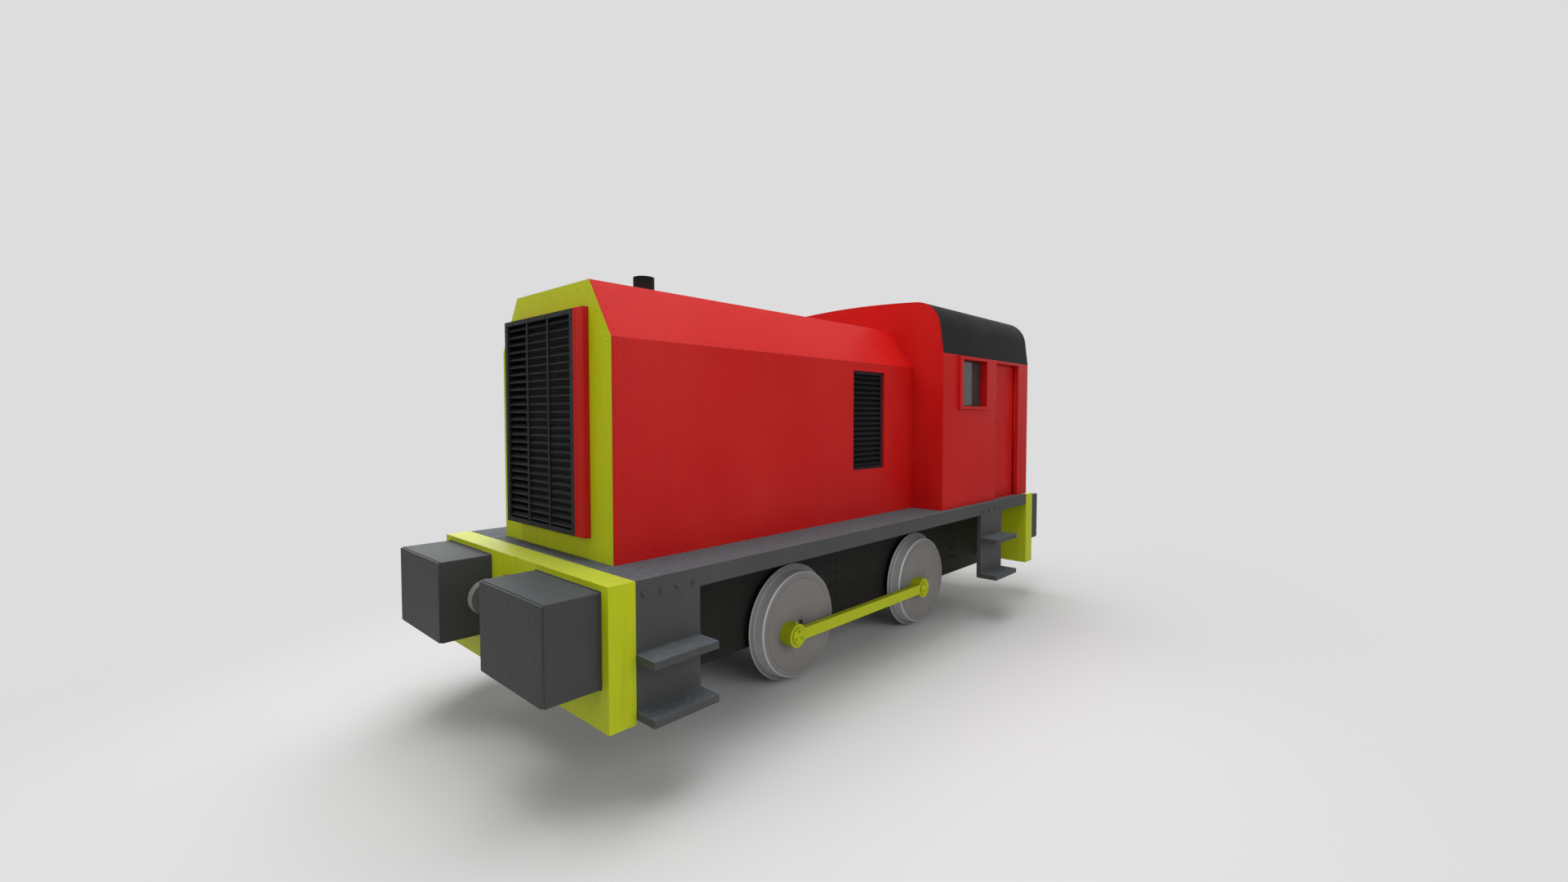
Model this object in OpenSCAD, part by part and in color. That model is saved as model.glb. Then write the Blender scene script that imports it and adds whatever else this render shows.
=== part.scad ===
// Four-wheeled shunting locomotive: inside plate frames, coupling rods,
// full-height bonnet ahead of one cab, block buffers and step ladders.
// X runs forward to the radiator, Y to the left, Z up; sizes in mm.
// Z = 0 is the lowest point of the wheel flanges.

/* [Underframe] */
// Distance over the outer faces of the two buffer beams
beam_span = 6585; // [6300:5:6900]
// Thickness of a buffer beam along the locomotive
beam_t = 200; // [120:5:240]
// Height of a buffer beam
beam_h = 925; // [800:5:960]
// Distance a buffer beam stands out beyond the footplate edge
beam_over = 5; // [0:1:20]
// Height of the footplate top above the flange bottoms
deck_top = 1440; // [1400:5:1500]
// Width of the footplate
deck_w = 2600; // [2500:5:2690]
// Thickness of the footplate sheet
deck_t = 15; // [10:1:25]
// Depth of the edge plate hung from each long side of the footplate
valance_h = 135; // [100:5:160]
// Thickness of that edge plate
valance_t = 15; // [10:1:20]
// Distance over the outer faces of the two frame plates
frame_w = 1260; // [1200:5:1270]
// Thickness of a frame plate
frame_t = 30; // [20:1:40]
// Height of the bottom edge of a frame plate above the flange bottoms
frame_bottom = 410; // [390:5:420]
// Thickness of a cross stretcher
stretcher_t = 40; // [20:1:60]
// Height of the bottom edge of a cross stretcher
stretcher_bottom = 470; // [440:5:520]
// Distance of the end stretchers from the beams
stretcher_end = 770; // [700:5:850]
// Distance of the middle stretcher ahead of the middle of the wheelbase
stretcher_mid = 360; // [300:5:420]
// Radius of the final drive round the rear axle
drive_r = 280; // [250:5:300]
// Width of the final drive
drive_w = 460; // [400:10:520]
// Reach of the final drive from the rear axle to its stretcher
drive_reach = 380; // [340:5:420]
// Height of the final drive arm above the rear axle
drive_h = 420; // [350:5:500]

/* [Buffers and drawhooks] */
// Width of a buffer block
buffer_w = 860; // [700:5:900]
// Height of a buffer block
buffer_h = 613; // [500:1:640]
// Depth of a buffer block ahead of its beam
buffer_d = 390; // [350:5:400]
// Distance of a buffer block from the end of its beam
buffer_edge = 79; // [50:1:110]
// Distance of the top of a buffer block below the footplate
buffer_drop = 45; // [20:1:80]
// Depth of the rubbing plate on a buffer block
buffer_face_t = 18; // [10:1:30]
// Corner cut on a buffer block
buffer_cut = 5; // [4:1:15]
// Height of the drawhook line below the footplate
hook_drop = 272; // [230:1:300]
// Radius of the round nose of a drawhook
hook_r = 127; // [110:1:135]
// Distance of the centre of that nose from the beam
hook_reach = 184; // [170:1:200]
// Distance of the shackle eye from the beam
hook_eye_x = 66; // [60:1:72]
// Depth of the shackle eye below the shank middle
hook_eye_drop = 8; // [0:1:12]
// Place of the throat behind the nose centre
hook_throat_x = 8; // [0:1:16]
// Place of the throat above the nose centre
hook_throat_z = 22; // [16:1:28]
// Backward slope of the mouth of a drawhook
hook_mouth_angle = 24; // [15:1:30]
// Gap round a drawhook shank in its beam
hook_gap = 3; // [1:1:6]
// Thickness of a drawhook
hook_t = 72; // [60:1:90]
// Height of a drawhook shank
hook_shank_h = 112; // [100:1:130]
// Radius of the round throat of a drawhook
hook_throat_r = 46; // [40:1:52]
// Bore of the shackle eye in a drawhook
hook_eye_d = 50; // [40:1:56]
// Side of the square plates that hold a drawhook to its beam
hook_plate = 230; // [200:5:260]
// Thickness of those plates
hook_plate_t = 22; // [15:1:30]

/* [Steps] */
// Width of the front step ladders
step_front_w = 530; // [480:5:560]
// Width of the rear step ladders
step_rear_w = 570; // [500:5:600]
// Distance of the middle of the rear step ladders behind the cab front
step_rear_back = 1109; // [1060:1:1160]
// Depth of the folded edges of a step ladder
step_plate_d = 50; // [40:1:60]
// Sheet thickness of the steps
step_t = 12; // [8:1:14]
// Reach of a tread beyond the footplate edge
tread_reach = 197; // [150:1:220]
// Depth of the folded rim of a tread
tread_rim = 52; // [40:1:60]
// Distance of the upper front treads below the footplate
tread_upper = 472; // [440:1:500]
// Distance of the upper rear treads below the footplate
tread_upper_rear = 406; // [380:1:440]
// Distance of the lower treads below the footplate
tread_lower = 838; // [800:1:845]

/* [Bonnet] */
// Distance of the bonnet front face behind the front beam
bonnet_setback = 130.5; // [125:0.5:180]
// Width of the bonnet
bonnet_w = 1692; // [1600:2:1740]
// Width of the flat top of the bonnet
bonnet_top_w = 1134; // [1050:2:1200]
// Height of the sloping shoulder of the bonnet
bonnet_cant = 432; // [390:1:470]
// Height of the bonnet top above the footplate
bonnet_h = 2025; // [1980:1:2060]
// Thickness of the framed bonnet panels
bonnet_t = 40; // [30:1:45]
// Thickness of the bonnet front plate
front_plate_t = 20; // [12:1:30]
// Distance of a bonnet vent ahead of the cab
vent_ahead = 563; // [500:1:620]
// Length of a bonnet vent
vent_w = 549; // [500:1:580]
// Distance of the top of a bonnet vent under the shoulder
vent_drop = 87; // [50:1:120]
// Height of the bottom edge of a bonnet vent above the footplate
vent_z = 495; // [460:1:530]
// Distance of a vent panel behind the bonnet side
vent_recess = 27; // [20:1:29]
// Width of the rim of a vent panel
vent_rim = 28; // [20:1:36]
// Lap of a vent panel behind the bonnet side
vent_lap = 22; // [15:1:30]
// Thickness of that lap
vent_lap_t = 16; // [10:1:20]
// Number of blades in a bonnet vent
vent_blades = 18; // [12:1:22]
// Distance of the exhaust behind the bonnet front
exhaust_back = 864; // [760:1:1060]
// Outside diameter of the exhaust
exhaust_d = 182; // [150:2:200]
// Height of the exhaust above the bonnet top
exhaust_h = 225; // [180:5:260]
// Wall of the exhaust
exhaust_t = 10; // [6:1:14]
// Width of the exhaust flange
exhaust_flange = 38; // [25:1:50]
// Thickness of the exhaust flange
exhaust_flange_t = 14; // [8:1:20]
// Space between the engine and the cab
engine_behind = 1087; // [1000:1:1300]
// Width of the engine
engine_w = 840; // [760:10:900]
// Space over the engine under the bonnet top
engine_over = 665; // [600:5:700]
// Space between the engine and the radiator block
engine_ahead = 342; // [300:1:400]

/* [Radiator] */
// Depth of the radiator box ahead of the bonnet front, grille included
rad_d = 119; // [110:1:122]
// Straight part of that depth
rad_straight = 45; // [35:1:55]
// Width of the radiator box at the bonnet
rad_w = 1110; // [1060:2:1120]
// Height of the bottom of the radiator box above the footplate
rad_z = 162; // [150:1:200]
// Distance of the top of the radiator box below the bonnet top
rad_top = 195; // [170:1:230]
// Sideways taper of the radiator box on each side
rad_taper_y = 12; // [8:1:16]
// Taper of the top and bottom of the radiator box
rad_taper_z = 24; // [16:1:30]
// Width of the rim of the grille
rad_rim = 60; // [50:1:70]
// Thickness of the grille frame
grille_t = 20; // [14:1:24]
// Width of an upright of the grille
grille_bar = 20; // [12:1:30]
// Thickness of the radiator block
core_t = 100; // [80:5:140]
// Lap of the radiator block behind the front plate
core_lap = 40; // [30:1:50]
// Number of blades in the grille
grille_blades = 26; // [18:1:30]
// Thickness of the sheet of the blades in the grille and the vents
blade_t = 6; // [4:1:8]
// Depth of a blade in the grille and the vents
blade_d = 44; // [36:1:48]
// Slope of the blades in the grille and the vents
blade_angle = 38; // [30:1:42]

/* [Cab] */
// Distance of the cab rear wall inside the outer face of the rear beam
cab_setback = 43.5; // [20:0.5:90]
// Length of the cab
cab_l = 2312; // [2280:1:2330]
// Distance of a cab side inside the footplate edge
cab_inset = 65; // [50:1:100]
// Height of the eave above the footplate
cab_eave = 1740; // [1710:1:1780]
// Thickness of the lined cab sides
cab_side_t = 110; // [105:1:125]
// Thickness of the cab end walls
cab_end_t = 90; // [86:1:100]
// Thickness of the roof sheet
roof_t = 20; // [12:1:28]
// Height of the roof corner centres above the eave
roof_side_h = 260; // [230:1:290]
// Distance of the roof corners inside the cab sides
roof_lean = 35; // [25:1:45]
// Radius of the roof corners
roof_corner_r = 330; // [300:1:360]
// Rise of the crown of the roof
roof_crown = 33; // [24:1:45]
// Distance of a side window behind the middle of the panel ahead of the door
window_x = 50; // [31:1:71]
// Width of a window opening
window_w = 600; // [560:1:620]
// Height of a window opening
window_h = 540; // [510:1:541]
// Distance of the top of a window opening under the eave
window_drop = 40; // [37:1:60]
// Width of a window frame beside its opening
window_side = 74; // [50:1:80]
// Width of a window frame over and under its opening
window_rim = 34; // [28:1:36]
// Distance a window frame stands out of its wall
window_proud = 30; // [20:1:40]
// Thickness of a window glass
glass_t = 8; // [6:1:12]
// Distance of a window glass behind the wall face
glass_recess = 78; // [65:1:85]
// Distance of a rear window from the centre line
rear_window_y = 560; // [520:1:600]
// Width of the driving desk
desk_w = 1040; // [900:10:1100]
// Height of the back of the driving desk
desk_h = 1080; // [1000:10:1120]
// Depth of the flat shelf at the back of the driving desk
desk_shelf = 120; // [80:5:160]
// Depth of the driving desk
desk_d = 400; // [350:5:450]
// Height of the front edge of the driving desk
desk_front_h = 860; // [820:5:900]
// Depth of the front edge of the driving desk
desk_edge = 100; // [80:5:140]
// Set-back of the foot of the driving desk
desk_foot = 100; // [60:5:140]
// Width of the crew bench
bench_w = 720; // [600:10:760]
// Depth of the crew bench
bench_d = 380; // [320:5:420]
// Height of the crew bench under its lid
bench_h = 430; // [400:5:460]
// Overhang of the bench lid
bench_lip = 20; // [10:1:30]
// Thickness of the bench lid
bench_lid = 35; // [20:1:45]

/* [Doors] */
// Distance of the rear edge of a door opening from the cab rear
door_x = 303; // [292:1:312]
// Width of a door opening
door_w = 671; // [640:1:690]
// Height of the beam over a door opening
door_lintel = 32; // [28:1:60]
// Distance of a door behind the cab side
door_recess = 70; // [60:1:72]
// Gap round a door
door_gap = 8; // [7:1:12]
// Radius of a hinge knuckle
knuckle_r = 14; // [10:1:18]
// Length of a hinge knuckle
knuckle_l = 70; // [50:5:90]
// Diameter of a hinge pin
hinge_pin_d = 14; // [10:1:16]
// Thickness of a hinge leaf
leaf_t = 8; // [6:1:10]
// Reach of a hinge leaf
leaf_l = 60; // [50:1:75]
// Width of the foot of a hinge leaf
leaf_foot = 26; // [20:1:30]
// Height of the lower hinge above the footplate
hinge_low = 260; // [200:5:320]
// Distance of the upper hinge below the eave
hinge_high = 380; // [330:5:450]

/* [Wheels and rods] */
// Distance between the two axles
wheelbase = 2190; // [2150:5:2260]
// Distance of the front axle from the middle of the locomotive
axle_x = 963; // [940:1:985]
// Radius of a wheel over its flange
flange_r = 545; // [538:1:552]
// Height of a flange over its tread
flange_h = 46; // [40:1:52]
// Distance over the outer faces of a pair of wheels
wheel_span = 1640; // [1630:2:1660]
// Width of a tyre
tyre_w = 140; // [130:1:145]
// Thickness of a flange
flange_t = 34; // [30:1:38]
// Narrowing of the tread from the flange to the outer edge
tread_cone = 10; // [6:1:14]
// Edge cut of a tyre
tyre_cut = 12; // [8:1:16]
// Thickness of the disc of a wheel
disc_t = 70; // [55:1:85]
// Depth of the rim of a tyre
rim_d = 90; // [75:1:100]
// Radius of the hub of a wheel
hub_r = 155; // [140:1:170]
// Diameter of an axle
axle_d = 160; // [140:2:180]
// Diameter of the centre hole in an axle end
centre_d = 84; // [70:2:96]
// Radius of the cranks
crank_r = 175; // [165:1:185]
// Angle of the left crank at rest, below straight ahead
crank_angle = 13; // [8:1:20]
// Radius of a crank boss and of a rod end
rod_boss_r = 106; // [95:1:112]
// Length of a crank boss on the wheel face
crank_boss_l = 66; // [50:1:80]
// Diameter of a crank pin
crank_pin_d = 112; // [100:2:130]
// Thickness of a coupling rod
rod_t = 62; // [50:1:70]
// Height of a coupling rod between its ends
rod_h = 106; // [90:1:116]
// Thickness of the cap on a crank pin
pin_cap_t = 9; // [6:1:14]
// Radius of that cap
pin_cap_r = 74; // [66:1:84]
// Length of an axlebox along the frame
axlebox_l = 260; // [230:2:290]
// Height of an axlebox
axlebox_h = 240; // [220:2:250]
// Width of an axlebox across the frame
axlebox_w = 100; // [90:2:110]
// Thickness of the keep under an axlebox
keep_t = 22; // [15:1:30]
// Lap of the keep along the frame on each side of an axlebox
keep_lap = 70; // [50:1:90]
// Distance the keep stands out beyond the frame plate on each side
keep_over = 20; // [10:1:26]
// Free height over an axlebox in its gap
axlebox_rise = 40; // [25:1:60]
// Depth of the centre hole in an axle end
centre_deep = 40; // [20:1:60]
// Distance the hub of a wheel stands out behind the tyre
hub_back = 8; // [0:1:9]
// Depth of the pin seat left in front of the back of the disc
pin_floor = 15; // [10:1:25]

/* [Hidden] */
$fn = 96;
// Gap between a pin and its bore on another body, and at sides of rods
run_gap = 0.5;
side_gap = 2;
// Free space round an axle where nothing carries it
axle_gap = 6;
// Gap of pieces pressed together
seat_gap = 0.2;
// Lap of the rolled roof corners over the sides and the crown beside them
roof_lap = 0.1;
beam_w = deck_w + 2 * beam_over;
buffer_y = beam_w / 2 - buffer_edge - buffer_w / 2;
bonnet_shoulder = bonnet_h - bonnet_cant;
rad_h = bonnet_h - rad_z - rad_top;
engine_h = bonnet_h - engine_over;
cab_w = deck_w - 2 * cab_inset;
window_z = cab_eave - window_drop - window_h;
beam_out = beam_span / 2;
beam_in = beam_out - beam_t;
bonnet_front_x = beam_in - bonnet_setback;
cab_rear_x = cab_setback - beam_out;
cab_front_x = cab_rear_x + cab_l;
door_back = cab_rear_x + door_x;
door_fore = door_back + door_w;
window_back = (door_fore + cab_front_x - window_w) / 2 - window_x;
vent_x = cab_front_x + vent_ahead;
vent_h = bonnet_shoulder - vent_z - vent_drop;
exhaust_x = bonnet_front_x - exhaust_back;
deck_under = deck_top - deck_t;
frame_out = frame_w / 2;
frame_in = frame_out - frame_t;
axle_z = flange_r;
tread_r = flange_r - flange_h;
axles = [axle_x, axle_x - wheelbase];
wheel_out = wheel_span / 2;
wheel_back = wheel_out - tyre_w;
bonnet_y = bonnet_w / 2;
bonnet_top_y = bonnet_top_w / 2;
bonnet_slope = (bonnet_y - bonnet_top_y) / (bonnet_h - bonnet_shoulder);
bonnet_slant = bonnet_t * sqrt(1 + bonnet_slope * bonnet_slope);
bonnet_back = bonnet_front_x - front_plate_t;
cab_y = cab_w / 2;
cab_in_y = cab_y - cab_side_t;
eave_z = deck_top + cab_eave;
corner_y = cab_y - roof_lean - roof_corner_r;
corner_z = eave_z + roof_side_h;
crown_h = roof_corner_r + roof_crown;
crown_z = corner_z + crown_h;
// Radius of the crown that runs into the roof corners without a bend, in whole mm
crown_r = round((corner_y * corner_y + crown_h * crown_h - roof_corner_r * roof_corner_r)
  / (2 * roof_crown));
// Lean of the roof sides, which run into the corners without a bend too
roof_slope = acos(roof_corner_r / norm([cab_y - corner_y, corner_z - eave_z]))
  - atan2(corner_z - eave_z, cab_y - corner_y);
door_face = cab_y - door_recess;
door_t = door_face - cab_in_y;
hinge_x = door_back + door_gap;
hinge_y = cab_in_y - knuckle_r - 5;
door_top = eave_z - door_lintel;
pin_seat = wheel_out - disc_t + pin_floor;
rod_y = wheel_out + crank_boss_l + side_gap;
pin_end = rod_y + rod_t + side_gap + pin_cap_t;
drive_x = axles[1];
drive_front = drive_x + drive_reach;
// Height and side of the hinge knuckles on a door
hinge_rows = [deck_top + hinge_low, eave_z - hinge_high];
// Middle of each cross stretcher along the locomotive
stretcher_rows = [
  beam_in - stretcher_end, (axles[0] + axles[1]) / 2 + stretcher_mid,
  drive_front + stretcher_t / 2, stretcher_end - beam_in
];

red = [0.66, 0.10, 0.10];
yellow = [0.78, 0.76, 0.10];
dark = [0.26, 0.26, 0.26];
black = [0.11, 0.11, 0.11];
steel = [0.42, 0.42, 0.41];

// A box from its low corner to its high corner
module box(a, b) {
  translate(a) cube([b[0] - a[0], b[1] - a[1], b[2] - a[2]]);
}

// A round bar along Y from y0 to y1
module bar_y(x, z, r, y0, y1) {
  translate([x, y0, z]) rotate([-90, 0, 0]) cylinder(h = y1 - y0, r = r);
}

// The same piece again on the right hand side
module right_hand() {
  mirror([0, 1, 0]) children();
}

// Frame plate with a gap open at the bottom for each axlebox
module frame_plate() {
  difference() {
    box([-beam_in, frame_in, frame_bottom], [beam_in, frame_out, deck_under]);
    for (x = axles) {
      box([x - axlebox_l / 2, frame_in - 1, frame_bottom - 1],
          [x + axlebox_l / 2, frame_out + 1, axle_z + axlebox_h / 2 + axlebox_rise]);
    }
  }
}

module frame_plates() {
  color(black) {
    frame_plate();
    right_hand() frame_plate();
  }
}

module frame_stretchers() {
  color(black) {
    for (x = stretcher_rows) {
      box([x - stretcher_t / 2, -frame_in, stretcher_bottom],
          [x + stretcher_t / 2, frame_in, deck_under]);
    }
  }
}

// Axlebox that fills its gap in the frame plate and carries a journal
module axlebox(x) {
  y0 = frame_out - frame_t / 2 - axlebox_w / 2;
  difference() {
    box([x - axlebox_l / 2, y0, axle_z - axlebox_h / 2],
        [x + axlebox_l / 2, y0 + axlebox_w, axle_z + axlebox_h / 2]);
    bar_y(x, axle_z, axle_d / 2 + run_gap, y0 - 1, y0 + axlebox_w + 1);
  }
}

module axleboxes() {
  color(dark) {
    for (x = axles) {
      axlebox(x);
      right_hand() axlebox(x);
    }
  }
}

// Flat bar bolted under the frame plate to hold the axlebox in its gap
module axlebox_keep(x) {
  box([x - axlebox_l / 2 - keep_lap, frame_in - keep_over, frame_bottom - keep_t],
      [x + axlebox_l / 2 + keep_lap, frame_out + keep_over, frame_bottom]);
}

module axlebox_keeps() {
  color(black) {
    for (x = axles) {
      axlebox_keep(x);
      right_hand() axlebox_keep(x);
    }
  }
}

// Sheet with an edge plate down each long side, between the beams
module footplate() {
  color(dark) {
    box([-beam_in, -deck_w / 2, deck_under], [beam_in, deck_w / 2, deck_top]);
    box([-beam_in, deck_w / 2 - valance_t, deck_top - valance_h],
        [beam_in, deck_w / 2, deck_top]);
    box([-beam_in, -deck_w / 2, deck_top - valance_h],
        [beam_in, valance_t - deck_w / 2, deck_top]);
  }
}

// Deep box beam with the slot that the drawhook shank passes
module buffer_beam() {
  z = deck_top - hook_drop;
  difference() {
    box([beam_in, -beam_w / 2, deck_top - beam_h], [beam_out, beam_w / 2, deck_top]);
    box([beam_in - 1, -hook_t / 2 - hook_gap, z - hook_shank_h / 2 - hook_gap],
        [beam_out + 1, hook_t / 2 + hook_gap, z + hook_shank_h / 2 + hook_gap]);
  }
}

module front_buffer_beam() {
  color(yellow) buffer_beam();
}

module rear_buffer_beam() {
  color(yellow) mirror([1, 0, 0]) buffer_beam();
}

// Outline of a buffer block across the locomotive, corners cut
module buffer_outline(inset) {
  w = buffer_w / 2 - inset;
  h = buffer_h / 2 - inset;
  c = buffer_cut;
  polygon([[-w + c, -h], [w - c, -h], [w, -h + c], [w, h - c],
           [w - c, h], [-w + c, h], [-w, h - c], [-w, -h + c]]);
}

// Block buffer: a steel box with a rubbing plate on its end
module buffer() {
  translate([beam_out, buffer_y, deck_top - buffer_drop - buffer_h / 2])
    rotate([90, 0, 90]) {
      linear_extrude(height = buffer_d - buffer_face_t) buffer_outline(0);
      translate([0, 0, buffer_d - buffer_face_t])
        linear_extrude(height = buffer_face_t) buffer_outline(buffer_cut);
    }
}

module front_buffers() {
  color(dark) {
    buffer();
    right_hand() buffer();
  }
}

module rear_buffers() {
  color(dark) mirror([1, 0, 0]) {
    buffer();
    right_hand() buffer();
  }
}

// Forged drawhook: shank through the beam, round nose, open throat, eye
module drawhook() {
  z = deck_top - hook_drop;
  nose_x = beam_out + hook_reach;
  difference() {
    union() {
      box([beam_in - hook_plate_t, -hook_t / 2, z - hook_shank_h / 2],
          [nose_x, hook_t / 2, z + hook_shank_h / 2]);
      bar_y(nose_x, z, hook_r, -hook_t / 2, hook_t / 2);
      box([beam_out, -hook_plate / 2, z - hook_plate / 2],
          [beam_out + hook_plate_t, hook_plate / 2, z + hook_plate / 2]);
      box([beam_in - hook_plate_t, -hook_plate / 2, z - hook_plate / 2],
          [beam_in, hook_plate / 2, z + hook_plate / 2]);
    }
    bar_y(nose_x - hook_throat_x, z + hook_throat_z, hook_throat_r, -hook_t, hook_t);
    translate([nose_x - hook_throat_x, 0, z + hook_throat_z]) rotate([0, -hook_mouth_angle, 0])
      box([-hook_throat_r, -hook_t, 0], [hook_throat_r * 0.55, hook_t, hook_r * 1.4]);
    bar_y(beam_out + hook_eye_x, z - hook_eye_drop, hook_eye_d / 2, -hook_t, hook_t);
  }
}

module front_drawhook() {
  color(steel) drawhook();
}

module rear_drawhook() {
  color(steel) mirror([1, 0, 0]) drawhook();
}

// Folded tread tray, open below
module tread(x, w, top) {
  y0 = deck_w / 2 - step_t;
  y1 = deck_w / 2 + tread_reach;
  difference() {
    box([x - w / 2, y0, top - tread_rim], [x + w / 2, y1, top]);
    box([x - w / 2 + step_t, deck_w / 2, top - tread_rim - 1],
        [x + w / 2 - step_t, y1 - step_t, top - step_t]);
  }
}

// Step ladder: plate with folded edges hung behind the edge plate, two treads
module step_ladder(x, w, upper) {
  z0 = deck_top - tread_lower - tread_rim;
  z1 = deck_top - valance_h;
  y1 = deck_w / 2;
  difference() {
    box([x - w / 2, y1 - step_plate_d, z0], [x + w / 2, y1, z1]);
    box([x - w / 2 + step_t, y1 - step_plate_d - 1, z0 + step_t],
        [x + w / 2 - step_t, y1 - step_t, z1 + 1]);
  }
  box([x - w / 2, y1 - valance_t - step_t, z1 - 60], [x + w / 2, y1 - valance_t, deck_under]);
  box([x - w / 2, y1 - valance_t - step_t, z1 - 60], [x + w / 2, y1 - step_t / 2, z1 - 48]);
  for (drop = [upper, tread_lower]) {
    tread(x, w, deck_top - drop);
  }
}

module front_steps_left() {
  color(dark) step_ladder(beam_in - step_front_w / 2, step_front_w, tread_upper);
}

module front_steps_right() {
  color(dark) right_hand() step_ladder(beam_in - step_front_w / 2, step_front_w, tread_upper);
}

module rear_steps_left() {
  color(dark) step_ladder(cab_front_x - step_rear_back, step_rear_w, tread_upper_rear);
}

module rear_steps_right() {
  color(dark) right_hand() step_ladder(cab_front_x - step_rear_back, step_rear_w, tread_upper_rear);
}

// Framed side of the bonnet with the hole for the vent panel
module bonnet_side() {
  difference() {
    box([cab_front_x, bonnet_y - bonnet_t, deck_top],
        [bonnet_back, bonnet_y, deck_top + bonnet_shoulder]);
    box([vent_x, bonnet_y - bonnet_t - 1, deck_top + vent_z],
        [vent_x + vent_w, bonnet_y + 1, deck_top + vent_z + vent_h]);
  }
}

module bonnet_side_left() {
  color(red) bonnet_side();
}

module bonnet_side_right() {
  color(red) right_hand() bonnet_side();
}

// Half width of the bonnet above the shoulder, at a height over the footplate
function bonnet_half(h) = bonnet_y - (h - bonnet_shoulder) * bonnet_slope;

// Top of the bonnet with both sloping shoulders, one folded section
module bonnet_top() {
  s = bonnet_shoulder;
  h = bonnet_h;
  i = h - bonnet_t;
  color(red)
    translate([cab_front_x, 0, deck_top]) rotate([90, 0, 90])
      linear_extrude(height = bonnet_back - cab_front_x)
        polygon([
          [bonnet_half(s), s], [bonnet_half(h), h], [-bonnet_half(h), h], [-bonnet_half(s), s],
          [bonnet_slant - bonnet_half(s), s], [bonnet_slant - bonnet_half(i), i],
          [bonnet_half(i) - bonnet_slant, i], [bonnet_half(s) - bonnet_slant, s]
        ]);
}

// Front plate over the whole end of the bonnet, open for the air
module bonnet_front() {
  s = bonnet_shoulder;
  h = bonnet_h;
  color(yellow)
    difference() {
      translate([bonnet_back, 0, deck_top]) rotate([90, 0, 90])
        linear_extrude(height = front_plate_t)
          polygon([
            [bonnet_y, 0], [bonnet_y, s], [bonnet_top_y, h],
            [-bonnet_top_y, h], [-bonnet_y, s], [-bonnet_y, 0]
          ]);
      box([bonnet_back - 1, rad_rim - rad_w / 2, deck_top + rad_z + rad_rim],
          [bonnet_front_x + 1, rad_w / 2 - rad_rim, deck_top + rad_z + rad_h - rad_rim]);
    }
}

// Row of sloping blades from x0 to x1, outer edges at y = 0, over a height
module blades(n, x0, x1, z0, z1) {
  step = (z1 - z0) / n;
  reach = (blade_d * cos(blade_angle) + blade_t * sin(blade_angle)) / 2;
  for (i = [0 : n - 1]) {
    translate([0, -reach, z0 + (i + 0.5) * step]) rotate([-blade_angle, 0, 0])
      translate([x0, -blade_d / 2, -blade_t / 2]) cube([x1 - x0, blade_d, blade_t]);
  }
}

// Vent panel: flange behind the bonnet side, ring in the hole, blades
module bonnet_vent() {
  rim = vent_rim;
  lap = vent_lap;
  y_in = bonnet_y - bonnet_t;
  y_face = bonnet_y - vent_recess;
  x1 = vent_x + vent_w;
  z0 = deck_top + vent_z;
  z1 = z0 + vent_h;
  difference() {
    union() {
      box([vent_x - lap, y_in - vent_lap_t, z0 - lap], [x1 + lap, y_in, z1 + lap]);
      box([vent_x, y_in - vent_lap_t, z0], [x1, y_face, z1]);
    }
    box([vent_x + rim, y_in - vent_lap_t - 1, z0 + rim], [x1 - rim, y_face + 1, z1 - rim]);
  }
  translate([0, y_face - 2, 0])
    blades(vent_blades, vent_x + rim - 4, x1 - rim + 4, z0 + rim, z1 - rim);
}

module bonnet_vent_left() {
  color(black) bonnet_vent();
}

module bonnet_vent_right() {
  color(black) right_hand() bonnet_vent();
}

// Flanged exhaust stub, open at the top
module exhaust_stack() {
  color(black)
    translate([exhaust_x, 0, deck_top + bonnet_h])
      difference() {
        union() {
          cylinder(h = exhaust_h, d = exhaust_d);
          cylinder(h = exhaust_flange_t, d = exhaust_d + 2 * exhaust_flange);
        }
        translate([0, 0, exhaust_flange_t]) cylinder(h = exhaust_h, d = exhaust_d - 2 * exhaust_t);
      }
}

// Outer form of the radiator box: straight at the bonnet, then tapering
module radiator_form() {
  x0 = bonnet_front_x;
  xs = x0 + rad_straight;
  x1 = x0 + rad_d;
  y = rad_w / 2;
  z0 = deck_top + rad_z;
  z1 = z0 + rad_h;
  intersection() {
    translate([0, 0, z0]) linear_extrude(height = rad_h)
      polygon([[x0, -y], [xs, -y], [x1, rad_taper_y - y], [x1, y - rad_taper_y], [xs, y], [x0, y]]);
    translate([0, y, 0]) rotate([90, 0, 0]) linear_extrude(height = rad_w)
      polygon([[x0, z0], [xs, z0], [x1, z0 + rad_taper_z],
               [x1, z1 - rad_taper_z], [xs, z1], [x0, z1]]);
  }
}

// Inside of the radiator box, drawn in by a margin from its rim
module radiator_inside(margin) {
  box([bonnet_front_x - 1, margin - rad_w / 2, deck_top + rad_z + margin],
      [bonnet_front_x + rad_d + 1, rad_w / 2 - margin, deck_top + rad_z + rad_h - margin]);
}

module radiator_casing() {
  x1 = bonnet_front_x + rad_d - grille_t;
  color(red)
    difference() {
      radiator_form();
      radiator_inside(rad_rim - 8);
      box([x1, -rad_w, 0], [x1 + rad_d, rad_w, crown_z]);
    }
}

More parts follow.
